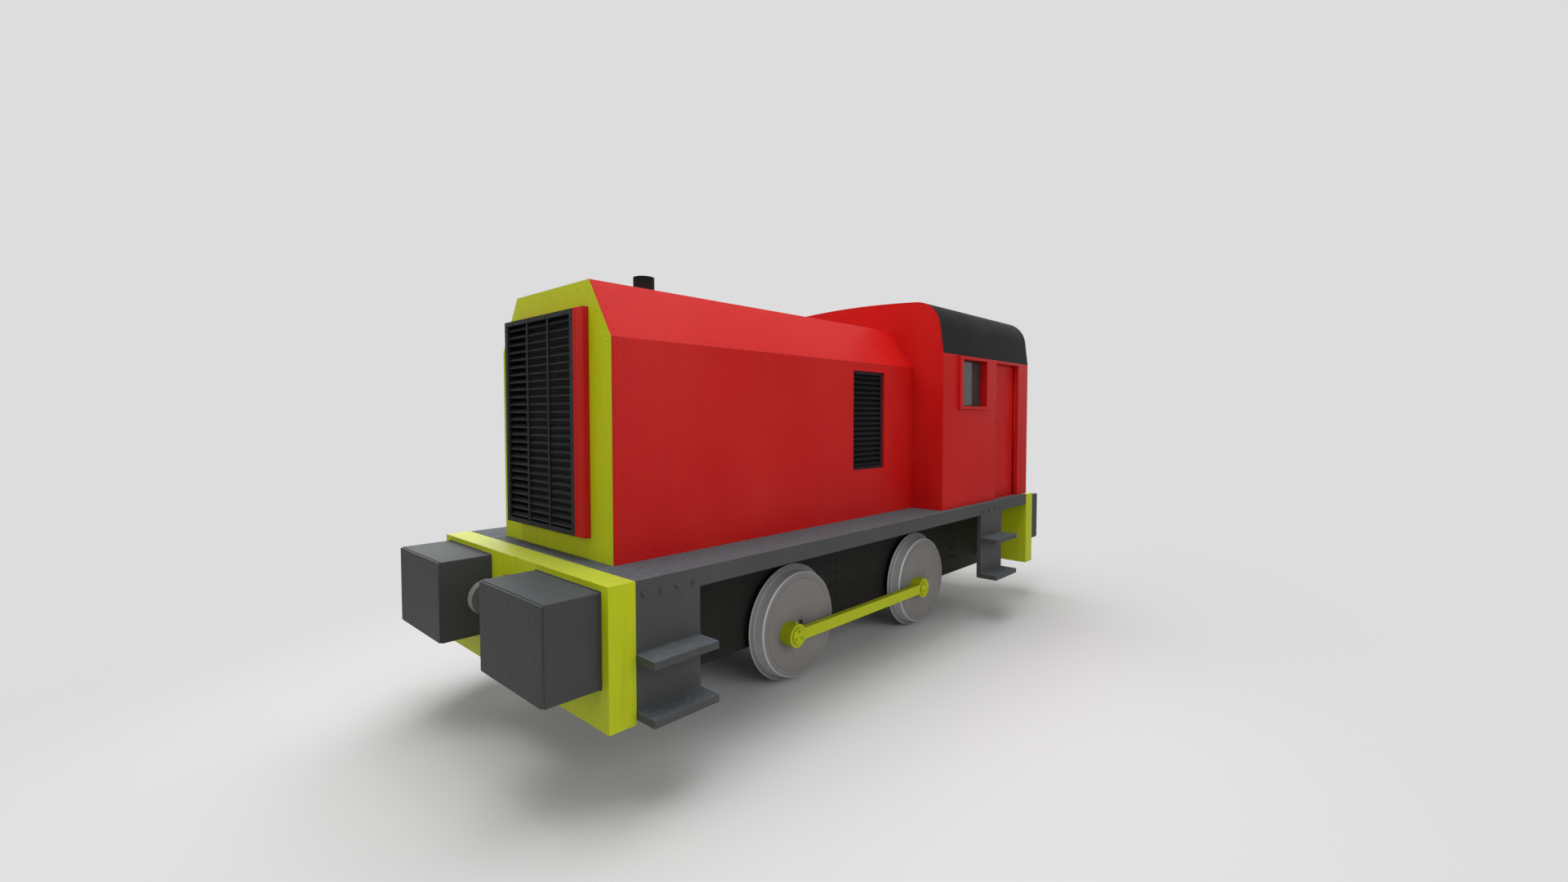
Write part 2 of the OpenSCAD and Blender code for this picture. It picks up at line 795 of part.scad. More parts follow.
// Grille: flat frame on the front of the casing, two uprights, blades
module radiator_grille() {
  x1 = bonnet_front_x + rad_d;
  y1 = rad_w / 2 - rad_rim;
  z0 = deck_top + rad_z + rad_rim;
  z1 = deck_top + rad_z + rad_h - rad_rim;
  color(black) {
    difference() {
      radiator_form();
      radiator_inside(rad_rim);
      box([0, -rad_w, 0], [x1 - grille_t, rad_w, crown_z]);
    }
    for (y = [-y1 / 3, y1 / 3]) {
      box([x1 - grille_t, y - grille_bar / 2, z0 - 4], [x1 - 4, y + grille_bar / 2, z1 + 4]);
    }
    translate([x1 - 6, 0, 0]) rotate([0, 0, -90])
      blades(grille_blades, -y1 - 4, y1 + 4, z0, z1);
  }
}

// Radiator block behind the front plate
module radiator_core() {
  y1 = rad_w / 2 - rad_rim + core_lap;
  z0 = deck_top + rad_z + rad_rim - core_lap;
  z1 = deck_top + rad_z + rad_h - rad_rim + core_lap;
  color(black) box([bonnet_back - core_t, -y1, z0], [bonnet_back, y1, z1]);
}

// Engine as one plain mass on the footplate
module engine_block() {
  x0 = cab_front_x + engine_behind;
  x1 = bonnet_back - core_t - engine_ahead;
  color(dark) box([x0, -engine_w / 2, deck_top], [x1, engine_w / 2, deck_top + engine_h]);
}

// Final drive round the rear axle, held by a stretcher
module final_drive() {
  color(dark)
    difference() {
      union() {
        bar_y(drive_x, axle_z, drive_r, -drive_w / 2, drive_w / 2);
        box([drive_x - drive_r / 2, -drive_w / 2, axle_z],
            [drive_front, drive_w / 2, axle_z + drive_h]);
      }
      bar_y(drive_x, axle_z, axle_d / 2 + axle_gap, -drive_w / 2 - 1, drive_w / 2 + 1);
    }
}

// Section of the roof from a height z0 up, drawn in by a margin: flat sides, rolled corners, crown
module roof_section(margin, z0) {
  r = roof_corner_r - margin;
  y0 = cab_y - margin / cos(roof_slope) + (eave_z - z0) * tan(roof_slope);
  y1 = corner_y + r * cos(roof_slope);
  z1 = corner_z + r * sin(roof_slope);
  crown_y = (crown_r - margin) * corner_y / (crown_r - roof_corner_r);
  polygon([[-y0, z0], [y0, z0], [y1, z1], [-y1, z1]]);
  intersection() {
    translate([-crown_y, z0]) square([2 * crown_y, crown_z + roof_lap - z0]);
    translate([0, crown_z - crown_r]) circle(r = crown_r - margin, $fn = 360);
  }
  for (y = [-corner_y, corner_y]) {
    intersection() {
      translate([-cab_y, corner_z]) square([cab_w, crown_h]);
      translate([y, corner_z]) circle(r = r + roof_lap);
    }
  }
}

// Curved roof sheet over the whole cab
module cab_roof() {
  color(black)
    translate([cab_rear_x, 0, 0]) rotate([90, 0, 90]) linear_extrude(height = cab_l)
      difference() {
        roof_section(0, eave_z);
        roof_section(roof_t, eave_z - 10);
      }
}

// End wall of the cab up to the underside of the roof
module cab_end(x0) {
  box([x0, -cab_y, deck_top], [x0 + cab_end_t, cab_y, eave_z]);
  translate([x0, 0, 0]) rotate([90, 0, 90]) linear_extrude(height = cab_end_t)
    roof_section(roof_t + seat_gap, eave_z);
}

module cab_front() {
  color(red) cab_end(cab_front_x - cab_end_t);
}

// Rear wall with two windows
module cab_rear() {
  z0 = deck_top + window_z;
  color(red)
    difference() {
      cab_end(cab_rear_x);
      for (y = [-rear_window_y, rear_window_y]) {
        box([cab_rear_x - 1, y - window_w / 2, z0],
            [cab_rear_x + cab_end_t + 1, y + window_w / 2, z0 + window_h]);
      }
    }
}

// Side wall with a window, a door opening and the fixed half of the hinges
module cab_side() {
  x0 = cab_rear_x + cab_end_t;
  x1 = cab_front_x - cab_end_t;
  z0 = deck_top + window_z;
  difference() {
    box([x0, cab_in_y, deck_top], [x1, cab_y, eave_z]);
    box([window_back, cab_in_y - 1, z0], [window_back + window_w, cab_y + 1, z0 + window_h]);
    box([door_back, cab_in_y - 1, deck_top - 1], [door_fore, cab_y + 1, door_top]);
  }
  for (row = hinge_rows) {
    z = row + knuckle_l + run_gap;
    translate([hinge_x, hinge_y, row]) cylinder(h = knuckle_l + run_gap, d = hinge_pin_d);
    translate([hinge_x, hinge_y, z]) cylinder(h = knuckle_l, r = knuckle_r);
    box([door_back - leaf_l, hinge_y - leaf_t / 2, z],
        [hinge_x, hinge_y + leaf_t / 2, z + knuckle_l]);
    box([door_back - leaf_l, hinge_y - leaf_t / 2, z],
        [door_back + leaf_foot - leaf_l, cab_in_y + 1, z + knuckle_l]);
  }
}

module cab_side_left() {
  color(red) cab_side();
}

module cab_side_right() {
  color(red) right_hand() cab_side();
}

// Places a window drawn round its sill corner on each wall that has one
module each_window() {
  z0 = deck_top + window_z;
  translate([window_back, cab_y, z0]) children();
  mirror([0, 1, 0]) translate([window_back, cab_y, z0]) children();
  for (y = [-rear_window_y, rear_window_y]) {
    translate([cab_rear_x, y - window_w / 2, z0]) rotate([0, 0, 90]) children();
  }
}

// Raised frames round the windows
module window_frames() {
  color(red)
    each_window()
      difference() {
        box([-window_side, 0, -window_rim],
            [window_w + window_side, window_proud, window_h + window_rim]);
        box([0, -1, 0], [window_w, window_proud + 1, window_h]);
      }
}

// Panes set back in the openings
module window_glass() {
  color([0.3, 0.3, 0.32])
    each_window()
      box([0, -glass_recess, 0], [window_w, glass_t - glass_recess, window_h]);
}

// Flat cab door with the moving half of its hinges
module cab_door() {
  x0 = hinge_x;
  x1 = door_fore - door_gap;
  difference() {
    union() {
      box([x0, cab_in_y, deck_top + door_gap], [x1, door_face, door_top - door_gap]);
      for (z = hinge_rows) {
        translate([hinge_x, hinge_y, z]) cylinder(h = knuckle_l, r = knuckle_r);
        box([hinge_x, hinge_y - leaf_t / 2, z], [hinge_x + leaf_l, hinge_y + leaf_t / 2, z + knuckle_l]);
        box([hinge_x + leaf_l - leaf_foot, hinge_y - leaf_t / 2, z],
            [hinge_x + leaf_l, cab_in_y + 1, z + knuckle_l]);
      }
    }
    for (z = hinge_rows) {
      translate([hinge_x, hinge_y, z - 1])
        cylinder(h = knuckle_l + 2, r = hinge_pin_d / 2 + run_gap);
    }
  }
}

module cab_door_left() {
  color(red) cab_door();
}

module cab_door_right() {
  color(red) right_hand() cab_door();
}

// Driving desk with a sloping top against the cab front wall
module control_desk() {
  x1 = cab_front_x - cab_end_t;
  color(dark)
    translate([x1, desk_w / 2, deck_top]) rotate([90, 0, 0]) linear_extrude(height = desk_w)
      polygon([
        [0, 0], [0, desk_h], [-desk_shelf, desk_h], [-desk_d, desk_front_h],
        [-desk_d, desk_front_h - desk_edge], [desk_foot - desk_d, desk_front_h - 1.6 * desk_edge],
        [desk_foot - desk_d, 0]
      ]);
}

// Locker bench against the cab rear wall
module crew_bench() {
  x0 = cab_rear_x + cab_end_t;
  color(dark) {
    box([x0, -bench_w / 2, deck_top], [x0 + bench_d, bench_w / 2, deck_top + bench_h]);
    box([x0, -bench_w / 2 - bench_lip, deck_top + bench_h],
        [x0 + bench_d + bench_lip, bench_w / 2 + bench_lip, deck_top + bench_h + bench_lid]);
  }
}

// Axle with a centre hole in each end
module axle(x) {
  difference() {
    bar_y(x, axle_z, axle_d / 2, -wheel_out, wheel_out);
    bar_y(x, axle_z, centre_d / 2, wheel_out - centre_deep, wheel_out + 1);
    bar_y(x, axle_z, centre_d / 2, -wheel_out - 1, centre_deep - wheel_out);
  }
}

// Height of a wheel section over the wheel back, turned about the axle
module wheel_section() {
  disc_in = tyre_w - disc_t;
  rim_r = tread_r - rim_d;
  polygon([
    [axle_d / 2 + seat_gap, -hub_back], [hub_r, -hub_back], [hub_r + 12, disc_in], [rim_r - 14, disc_in],
    [rim_r, 0], [tread_r + flange_h * 0.6, 0], [flange_r - 4, flange_t * 0.2],
    [flange_r, flange_t * 0.45], [flange_r - 5, flange_t * 0.7], [tread_r + 4, flange_t],
    [tread_r, flange_t + 8], [tread_r - tread_cone, tyre_w - tyre_cut],
    [tread_r - tread_cone - tyre_cut, tyre_w], [axle_d / 2 + seat_gap, tyre_w]
  ]);
}

// Where a crank pin stands, from the wheel centre; the right leads by a quarter
function crank_at(side) =
  let (a = side > 0 ? -crank_angle : 90 - crank_angle)
  [crank_r * cos(a), crank_r * sin(a)];

// Disc wheel with the seat of its crank pin
module wheel(x, side) {
  c = crank_at(side);
  difference() {
    translate([x, side * wheel_back, axle_z]) rotate([-90 * side, 0, 0])
      rotate_extrude($fn = 144) wheel_section();
    translate([x + c[0], side * pin_seat, axle_z + c[1]]) rotate([-90 * side, 0, 0])
      cylinder(h = disc_t, d = crank_pin_d + 2 * seat_gap);
  }
}

// Crank pin: spigot in the wheel, boss, journal for the rod, end cap
module crankpin(x, side) {
  c = crank_at(side);
  translate([x + c[0], side * pin_seat, axle_z + c[1]]) rotate([-90 * side, 0, 0]) {
    cylinder(h = pin_end - pin_seat, d = crank_pin_d);
    translate([0, 0, wheel_out - pin_seat]) cylinder(h = crank_boss_l, r = rod_boss_r);
    translate([0, 0, pin_end - pin_cap_t - pin_seat]) cylinder(h = pin_cap_t, r = pin_cap_r);
  }
}

module front_axle() {
  color(steel) axle(axles[0]);
}

module front_wheels() {
  color(steel) {
    wheel(axles[0], 1);
    wheel(axles[0], -1);
  }
}

module front_crankpins() {
  color(yellow) {
    crankpin(axles[0], 1);
    crankpin(axles[0], -1);
  }
}

module rear_axle() {
  color(steel) axle(axles[1]);
}

module rear_wheels() {
  color(steel) {
    wheel(axles[1], 1);
    wheel(axles[1], -1);
  }
}

module rear_crankpins() {
  color(yellow) {
    crankpin(axles[1], 1);
    crankpin(axles[1], -1);
  }
}

// Coupling rod with a round end on each crank pin
module coupling_rod(side) {
  c = crank_at(side);
  z = axle_z + c[1];
  y0 = side > 0 ? rod_y : -rod_y - rod_t;
  difference() {
    union() {
      for (x = axles) {
        bar_y(x + c[0], z, rod_boss_r, y0, y0 + rod_t);
      }
      box([axles[1] + c[0], y0, z - rod_h / 2], [axles[0] + c[0], y0 + rod_t, z + rod_h / 2]);
    }
    for (x = axles) {
      bar_y(x + c[0], z, crank_pin_d / 2 + run_gap, y0 - 1, y0 + rod_t + 1);
    }
  }
}

module coupling_rod_left() {
  color(yellow) coupling_rod(1);
}

module coupling_rod_right() {
  color(yellow) coupling_rod(-1);
}

frame_plates();
frame_stretchers();
axleboxes();
axlebox_keeps();
footplate();
front_buffer_beam();
rear_buffer_beam();
front_buffers();
rear_buffers();
front_drawhook();
rear_drawhook();
front_steps_left();
front_steps_right();
rear_steps_left();
rear_steps_right();
bonnet_side_left();
bonnet_side_right();
bonnet_top();
bonnet_front();
bonnet_vent_left();
bonnet_vent_right();
exhaust_stack();
radiator_casing();
radiator_grille();
radiator_core();
engine_block();
final_drive();
cab_front();
cab_rear();
cab_side_left();
cab_side_right();
cab_roof();
window_frames();
window_glass();
cab_door_left();
cab_door_right();
control_desk();
crew_bench();
front_axle();
front_wheels();
front_crankpins();
rear_axle();
rear_wheels();
rear_crankpins();
coupling_rod_left();
coupling_rod_right();
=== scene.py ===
import math

import bmesh
import bpy
from mathutils import Matrix, Vector


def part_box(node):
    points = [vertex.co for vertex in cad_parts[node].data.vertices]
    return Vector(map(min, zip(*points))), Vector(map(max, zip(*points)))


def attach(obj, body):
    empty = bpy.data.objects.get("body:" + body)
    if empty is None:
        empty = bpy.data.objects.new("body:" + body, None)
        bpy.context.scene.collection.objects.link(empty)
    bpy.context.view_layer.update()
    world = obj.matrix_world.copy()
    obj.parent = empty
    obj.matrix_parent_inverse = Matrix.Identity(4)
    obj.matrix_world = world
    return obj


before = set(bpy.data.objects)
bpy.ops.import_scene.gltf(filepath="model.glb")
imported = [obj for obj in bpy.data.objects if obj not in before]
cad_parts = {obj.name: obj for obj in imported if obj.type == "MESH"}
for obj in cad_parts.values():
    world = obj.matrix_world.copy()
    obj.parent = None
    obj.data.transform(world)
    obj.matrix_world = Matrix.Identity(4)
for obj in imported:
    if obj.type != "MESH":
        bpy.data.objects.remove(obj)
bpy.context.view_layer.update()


# Main frame: two rolled steel plates standing on edge inside the wheels, gapped for the axleboxes
# and tied by cross stretchers. Flame-cut from plate, riveted through the stretchers' flanges
# and brushed black all over.
def linear(code):
    parts = [int(code[i:i + 2], 16) / 255 for i in (1, 3, 5)]
    return tuple(c / 12.92 if c <= 0.04045 else ((c + 0.055) / 1.055) ** 2.4 for c in parts) + (1.0,)


def add(tree, kind, inputs=None, **settings):
    # Adds one node and gives its outputs; an input takes a value, an output or a list of outputs.
    node = tree.nodes.new(kind)
    for key, value in settings.items():
        setattr(node, key, value)
    for key, value in (inputs or {}).items():
        for each in value if isinstance(value, list) else [value]:
            if isinstance(each, bpy.types.NodeSocket):
                tree.links.new(each, node.inputs[key])
            else:
                node.inputs[key].default_value = each
    return node.outputs


def blank(name):
    material = bpy.data.materials.new(name)
    material.use_nodes = True
    material.node_tree.nodes.clear()
    return material, material.node_tree


def enamel(name, coat, faded, under, rough, dust, wear=0.5, wave=0.0010, skylight_and_dust=0.0, sheen=0.15,
           rain=0.14, second=()):
    # Machine enamel on steel plate: an even coat that clouds as it fades, is marked a little by rain,
    # takes pale dust low down, carries painted sky light as a pale bluish film on its upward faces,
    # and shows what is under it along the arrises.
    # second lists coats on parts of the piece: what makes the mask, and a colour or what makes one.
    material, tree = blank(name)
    spot = add(tree, "ShaderNodeTexCoord")["Object"]
    skin = add(tree, "ShaderNodeNewGeometry")["Normal"]
    eased = add(tree, "ShaderNodeBevel", {"Radius": 0.006}, samples=4)["Normal"]
    # Fading in clouds about 700 mm across.
    cloud = add(tree, "ShaderNodeTexNoise", {"Vector": spot, "Scale": 1 / 0.7, "Detail": 4.0})[0]
    fade = add(tree, "ShaderNodeMapRange", {0: cloud, 1: 0.40, 2: 0.70, 3: 0.0, 4: 0.6})[0]
    # Rain marks 45 mm wide and about 1.3 m long.
    tall = add(tree, "ShaderNodeMapping", {
        "Vector": spot, "Scale": (1 / 0.045, 1 / 0.045, 1 / 1.3)})[0]
    run = add(tree, "ShaderNodeTexNoise", {"Vector": tall, "Scale": 1.0, "Detail": 2.0})[0]
    mark = add(tree, "ShaderNodeMapRange", {0: run, 1: 0.54, 2: 0.78, 3: 0.0, 4: rain})[0]
    # Dust grains are too fine to show, so they are drawn as 60 mm drifts: thick at the rail and gone
    # at 1.7 m on upright faces. Faces that look up get a thin pale bluish film in the same drifts:
    # painted sky light that lightens the tops, standing for settled dust as well.
    drift = add(tree, "ShaderNodeTexNoise", {"Vector": spot, "Scale": 1 / 0.06, "Detail": 5.0})[0]
    height = add(tree, "ShaderNodeSeparateXYZ", {0: spot})["Z"]
    low = add(tree, "ShaderNodeMapRange", {0: height, 1: 0.05, 2: 1.7, 3: dust, 4: 0.0})[0]
    laid = add(tree, "ShaderNodeMath", {0: low, 1: drift}, operation="MULTIPLY")[0]
    facing_up = add(tree, "ShaderNodeSeparateXYZ", {0: skin})["Z"]
    flat = add(tree, "ShaderNodeMapRange", {0: facing_up, 1: 0.80, 2: 0.98, 3: 0.0, 4: skylight_and_dust})[0]
    patchy = add(tree, "ShaderNodeMapRange", {0: drift, 1: 0.3, 2: 0.7, 3: 0.7, 4: 1.2})[0]
    film = add(tree, "ShaderNodeMath", {0: flat, 1: patchy}, operation="MULTIPLY")[0]
    # Worn arrises: where the surface turns within 6 mm, broken into chips about 25 mm long.
    turn = add(tree, "ShaderNodeVectorMath", {0: skin, 1: eased}, operation="DOT_PRODUCT")["Value"]
    arris = add(tree, "ShaderNodeMapRange", {0: turn, 1: 0.995, 2: 0.90, 3: 0.0, 4: wear})[0]
    chip = add(tree, "ShaderNodeTexNoise", {"Vector": spot, "Scale": 1 / 0.025, "Detail": 4.0})[0]
    gone = add(tree, "ShaderNodeMapRange", {0: chip, 1: 0.50, 2: 0.62, 3: 0.0, 4: 1.0})[0]
    bare = add(tree, "ShaderNodeMath", {0: arris, 1: gone}, operation="MULTIPLY")[0]
    coats = [(fade, linear(faded))]
    for mask, other in second:
        coats.append((mask(tree, spot, skin), other(tree, spot) if callable(other) else linear(other)))
    # The pale bluish #8493A0 is painted sky light on the faces that look up, given as settled dust.
    coats += [(mark, linear("#1C1815")), (laid, linear("#8B8274")), (film, linear("#8493A0")),
              (bare, linear(under))]
    shade = linear(coat)
    for share, over in coats:
        shade = add(tree, "ShaderNodeMix", {0: share, 6: shade, 7: over}, data_type="RGBA")[2]
    gloss = add(tree, "ShaderNodeMapRange", {
        0: cloud, 1: 0.3, 2: 0.7, 3: rough - 0.05, 4: rough + 0.07})[0]
    dull = add(tree, "ShaderNodeMath", {0: laid, 1: 0.4, 2: gloss}, operation="MULTIPLY_ADD")[0]
    # Plate that is not quite flat over 400 mm, and brush marks drawn at 15 mm so that they show.
    buckle = add(tree, "ShaderNodeTexNoise", {"Vector": spot, "Scale": 1 / 0.4, "Detail": 1.0})[0]
    plate = add(tree, "ShaderNodeBump", {
        "Strength": 1.0, "Distance": wave, "Height": buckle, "Normal": eased})
    brush = add(tree, "ShaderNodeTexNoise", {"Vector": spot, "Scale": 1 / 0.015, "Detail": 3.0})[0]
    marks = add(tree, "ShaderNodeBump", {
        "Strength": 0.5, "Distance": 0.0003, "Height": brush, "Normal": plate[0]})
    shader = add(tree, "ShaderNodeBsdfPrincipled", {
        "Base Color": shade, "Roughness": dull, "Normal": marks[0], "Specular IOR Level": sheen})
    add(tree, "ShaderNodeOutputMaterial", {"Surface": shader[0]})
    return material


def dress(material, *names):
    for name in names:
        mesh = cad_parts[name].data
        mesh.materials.clear()
        mesh.materials.append(material)


def grown(name, sizes):
    # A new tree with named sizes in metres, a finish, and geometry in and out.
    tree = bpy.data.node_groups.new(name, "GeometryNodeTree")
    tree.interface.new_socket("Geometry", in_out="INPUT", socket_type="NodeSocketGeometry")
    for label in sizes:
        tree.interface.new_socket(label, in_out="INPUT", socket_type="NodeSocketFloat")
    tree.interface.new_socket("Finish", in_out="INPUT", socket_type="NodeSocketMaterial")
    tree.interface.new_socket("Geometry", in_out="OUTPUT", socket_type="NodeSocketGeometry")
    return tree, add(tree, "NodeGroupInput")


def ended(tree, shape, finish):
    # Every tree ends alike: instances made real, then the finish.
    real = add(tree, "GeometryNodeRealizeInstances", {0: shape})
    done = add(tree, "GeometryNodeSetMaterial", {"Geometry": real[0], "Material": finish})
    add(tree, "NodeGroupOutput", {0: done[0]})
    return tree


def planted(name, tree, points, sizes, finish, body, facing=(), edges=()):
    # Runs a tree on a bare mesh of points and lines, and keeps what comes out as a plain mesh.
    # facing is one direction for all the points, or a list with one for each.
    mesh = bpy.data.meshes.new(name)
    mesh.from_pydata(points, edges, [])
    if facing:
        ways = facing if isinstance(facing, list) else [facing] * len(points)
        out = mesh.attributes.new("facing", "FLOAT_VECTOR", "POINT")
        out.data.foreach_set("vector", [c for way in ways for c in way])
    piece = bpy.data.objects.new(name, mesh)
    bpy.context.scene.collection.objects.link(piece)
    made = piece.modifiers.new("made", "NODES")
    made.node_group = tree
    for item in tree.interface.items_tree:
        if item.in_out == "INPUT" and item.name in sizes:
            made[item.identifier] = sizes[item.name]
        if item.in_out == "INPUT" and item.name == "Finish":
            made[item.identifier] = finish
    view = bpy.context.evaluated_depsgraph_get()
    plain = bpy.data.meshes.new_from_object(piece.evaluated_get(view), depsgraph=view)
    piece.modifiers.clear()
    piece.data = plain
    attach(piece, body)
    return piece


def rivet_tree():
    # A snap head: a flattened dome with its lower half sunk in the plate.
    tree, size = grown("snap_rivets", ["Head diameter", "Head height"])
    half = add(tree, "ShaderNodeMath", {0: size["Head diameter"], 1: 0.5}, operation="MULTIPLY")[0]
    dome = add(tree, "GeometryNodeMeshUVSphere", {"Segments": 12, "Rings": 6, "Radius": half})
    ratio = add(tree, "ShaderNodeMath", {0: size["Head height"], 1: half}, operation="DIVIDE")[0]
    low = add(tree, "ShaderNodeCombineXYZ", {"X": 1.0, "Y": 1.0, "Z": ratio})[0]
    pressed = add(tree, "GeometryNodeTransform", {"Geometry": dome["Mesh"], "Scale": low})
    soft = add(tree, "GeometryNodeSetShadeSmooth", {0: pressed[0]})
    out = add(tree, "GeometryNodeInputNamedAttribute", {"Name": "facing"}, data_type="FLOAT_VECTOR")
    aim = add(tree, "FunctionNodeAlignRotationToVector", {"Vector": out[0]}, axis="Z")
    placed = add(tree, "GeometryNodeInstanceOnPoints", {
        "Points": size["Geometry"], "Instance": soft[0], "Rotation": aim[0]})
    return ended(tree, placed[0], size["Finish"])


frame_black = enamel("black_frame_enamel", "#111110", "#191918", "#423D38", rough=0.62, dust=0.07)
dress(frame_black, "frame_plates", "frame_stretchers")
snap_rivets = rivet_tree()
frame_rivet = {"Head diameter": 0.034, "Head height": 0.012}
rivets_high, rivet_low, rivet_pitch, rivet_off = 7, 0.62, 0.12, 0.05
stretcher_half, middle_ahead = 0.020, 0.360
plate_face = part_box("frame_plates")[1].y
front_axle, rear_axle = [sum(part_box(name), Vector()) / 2 for name in ("front_axle", "rear_axle")]
tie_low, tie_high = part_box("frame_stretchers")
stretchers = (tie_high.x - stretcher_half, (front_axle.x + rear_axle.x) / 2 + middle_ahead,
              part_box("final_drive")[1].x + stretcher_half, tie_low.x + stretcher_half)
spots, looks = [], []
for side in (1, -1):
    for x in stretchers:
        for off in (-rivet_off, rivet_off):
            for step in range(rivets_high):
                spots.append((x + off, side * plate_face, rivet_low + rivet_pitch * step))
                looks.append((0, side, 0))
planted("frame_rivets", snap_rivets, spots, frame_rivet, frame_black, "chassis", looks)


# Axleboxes and final drive: sand-cast iron housings. The boxes slide in the frame gaps and are held
# up by flat keeps bolted across the gap below; the drive hangs round the rear axle.
# Thick black paint over the casting's grain.
cast_black = enamel("sand_cast_black_enamel", "#171716", "#21201F", "#4A433C", rough=0.66, dust=0.12,
                    wear=0.4, wave=0.0022)
dress(cast_black, "axleboxes", "axlebox_keeps", "final_drive")


def bolt_tree():
    # A hexagon head with its chamfered crown on a round washer, turned by chance about its own axis.
    # The washer's lower half is sunk in the plate.
    crown_share, crown_high, washer_deep, most_turn = 0.82, 0.0025, 0.008, 1.05
    tree, size = grown("hex_bolts", ["Across corners", "Head height", "Washer diameter"])
    half = add(tree, "ShaderNodeMath", {0: size["Across corners"], 1: 0.5}, operation="MULTIPLY")[0]
    ring = add(tree, "ShaderNodeMath", {0: size["Washer diameter"], 1: 0.5}, operation="MULTIPLY")[0]
    lift = add(tree, "ShaderNodeMath", {0: size["Head height"], 1: 0.5}, operation="MULTIPLY")[0]
    tip = add(tree, "ShaderNodeMath", {0: half, 1: crown_share}, operation="MULTIPLY")[0]
    head = add(tree, "GeometryNodeMeshCylinder", {
        "Vertices": 6, "Radius": half, "Depth": size["Head height"]})
    crown = add(tree, "GeometryNodeMeshCone", {
        "Vertices": 6, "Radius Top": tip, "Radius Bottom": half, "Depth": crown_high})
    washer = add(tree, "GeometryNodeMeshCylinder", {"Vertices": 16, "Radius": ring, "Depth": washer_deep})
    at_half = add(tree, "ShaderNodeCombineXYZ", {"Z": lift})[0]
    at_top = add(tree, "ShaderNodeCombineXYZ", {"Z": size["Head height"]})[0]
    parts = []
    for part, place in ((head, at_half), (crown, at_top), (washer, (0.0, 0.0, 0.0))):
        moved = add(tree, "GeometryNodeTransform", {"Geometry": part["Mesh"], "Translation": place})
        parts.append(moved[0])
    whole = add(tree, "GeometryNodeJoinGeometry", {0: parts})
    chance = add(tree, "FunctionNodeRandomValue", {"Seed": 4, 3: most_turn}, data_type="FLOAT")[1]
    angle = add(tree, "ShaderNodeCombineXYZ", {"Z": chance})[0]
    spun = add(tree, "FunctionNodeEulerToRotation", {0: angle})[0]
    out = add(tree, "GeometryNodeInputNamedAttribute", {"Name": "facing"}, data_type="FLOAT_VECTOR")
    aim = add(tree, "FunctionNodeAlignRotationToVector", {
        "Rotation": spun, "Vector": out[0]}, axis="Z")
    placed = add(tree, "GeometryNodeInstanceOnPoints", {
        "Points": size["Geometry"], "Instance": whole[0], "Rotation": aim[0]})
    return ended(tree, placed[0], size["Finish"])


hex_bolts = bolt_tree()
keep_bolt = {"Across corners": 0.042, "Head height": 0.022, "Washer diameter": 0.050}
drive_bolt = {"Across corners": 0.028, "Head height": 0.014, "Washer diameter": 0.032}
keep_bolt_off, frame_middle, drive_ring, drive_bolts = 0.165, 0.615, 0.25, 12
keep_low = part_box("axlebox_keeps")[0].z
spots = [(axle.x + off, side * frame_middle, keep_low) for axle in (front_axle, rear_axle)
         for side in (1, -1) for off in (-keep_bolt_off, keep_bolt_off)]
planted("keep_bolts", hex_bolts, spots, keep_bolt, cast_black, "chassis", (0, 0, -1))
drive_low, drive_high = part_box("final_drive")
spots, looks = [], []
for face in (drive_low.y, drive_high.y):
    for step in range(drive_bolts):
        angle = 2 * math.pi * (step + 0.5) / drive_bolts
        x, z = rear_axle.x + drive_ring * math.cos(angle), rear_axle.z + drive_ring * math.sin(angle)
        spots.append((x, face, z))
        looks.append((0, math.copysign(1, face), 0))
planted("final_drive_bolts", hex_bolts, spots, drive_bolt, cast_black, "chassis", looks)


# Footplate: one wide sheet of raised-pattern plate over the frame, with deep edge plates welded under
# its sides. Rolled steel painted dark grey; the lozenges stand two and a half millimetres proud,
# and the faces that look up carry a pale film of painted sky light, given as dust.
grey_primer = "#5E5A56"
# Its upward faces are lightened by painted sky light.
deck_grey = enamel("dark_grey_deck_enamel", "#3E3F3F", "#464848", grey_primer, rough=0.60, dust=0.05,
                   skylight_and_dust=0.20)
dress(deck_grey, "footplate")


def pattern_tree():
    # Lozenges that lean one way and the other in turn, as the mill rolls them.
    tree, size = grown("raised_pattern", ["Lozenge length", "Lozenge width", "Lozenge height"])
    grain = add(tree, "GeometryNodeMeshUVSphere", {"Segments": 6, "Rings": 4, "Radius": 0.5})
    spread = add(tree, "ShaderNodeCombineXYZ", {
        "X": size["Lozenge length"], "Y": size["Lozenge width"], "Z": size["Lozenge height"]})[0]
    pulled = add(tree, "GeometryNodeTransform", {"Geometry": grain["Mesh"], "Scale": spread})
    soft = add(tree, "GeometryNodeSetShadeSmooth", {0: pulled[0]})
    lean = add(tree, "GeometryNodeInputNamedAttribute", {"Name": "facing"}, data_type="FLOAT_VECTOR")
    aim = add(tree, "FunctionNodeEulerToRotation", {0: lean[0]})
    placed = add(tree, "GeometryNodeInstanceOnPoints", {
        "Points": size["Geometry"], "Instance": soft[0], "Rotation": aim[0]})
    return ended(tree, placed[0], size["Finish"])


raised_pattern = pattern_tree()
lozenge = {"Lozenge length": 0.036, "Lozenge width": 0.012, "Lozenge height": 0.005}
lozenge_pitch, plain_edge = 0.036, 0.03


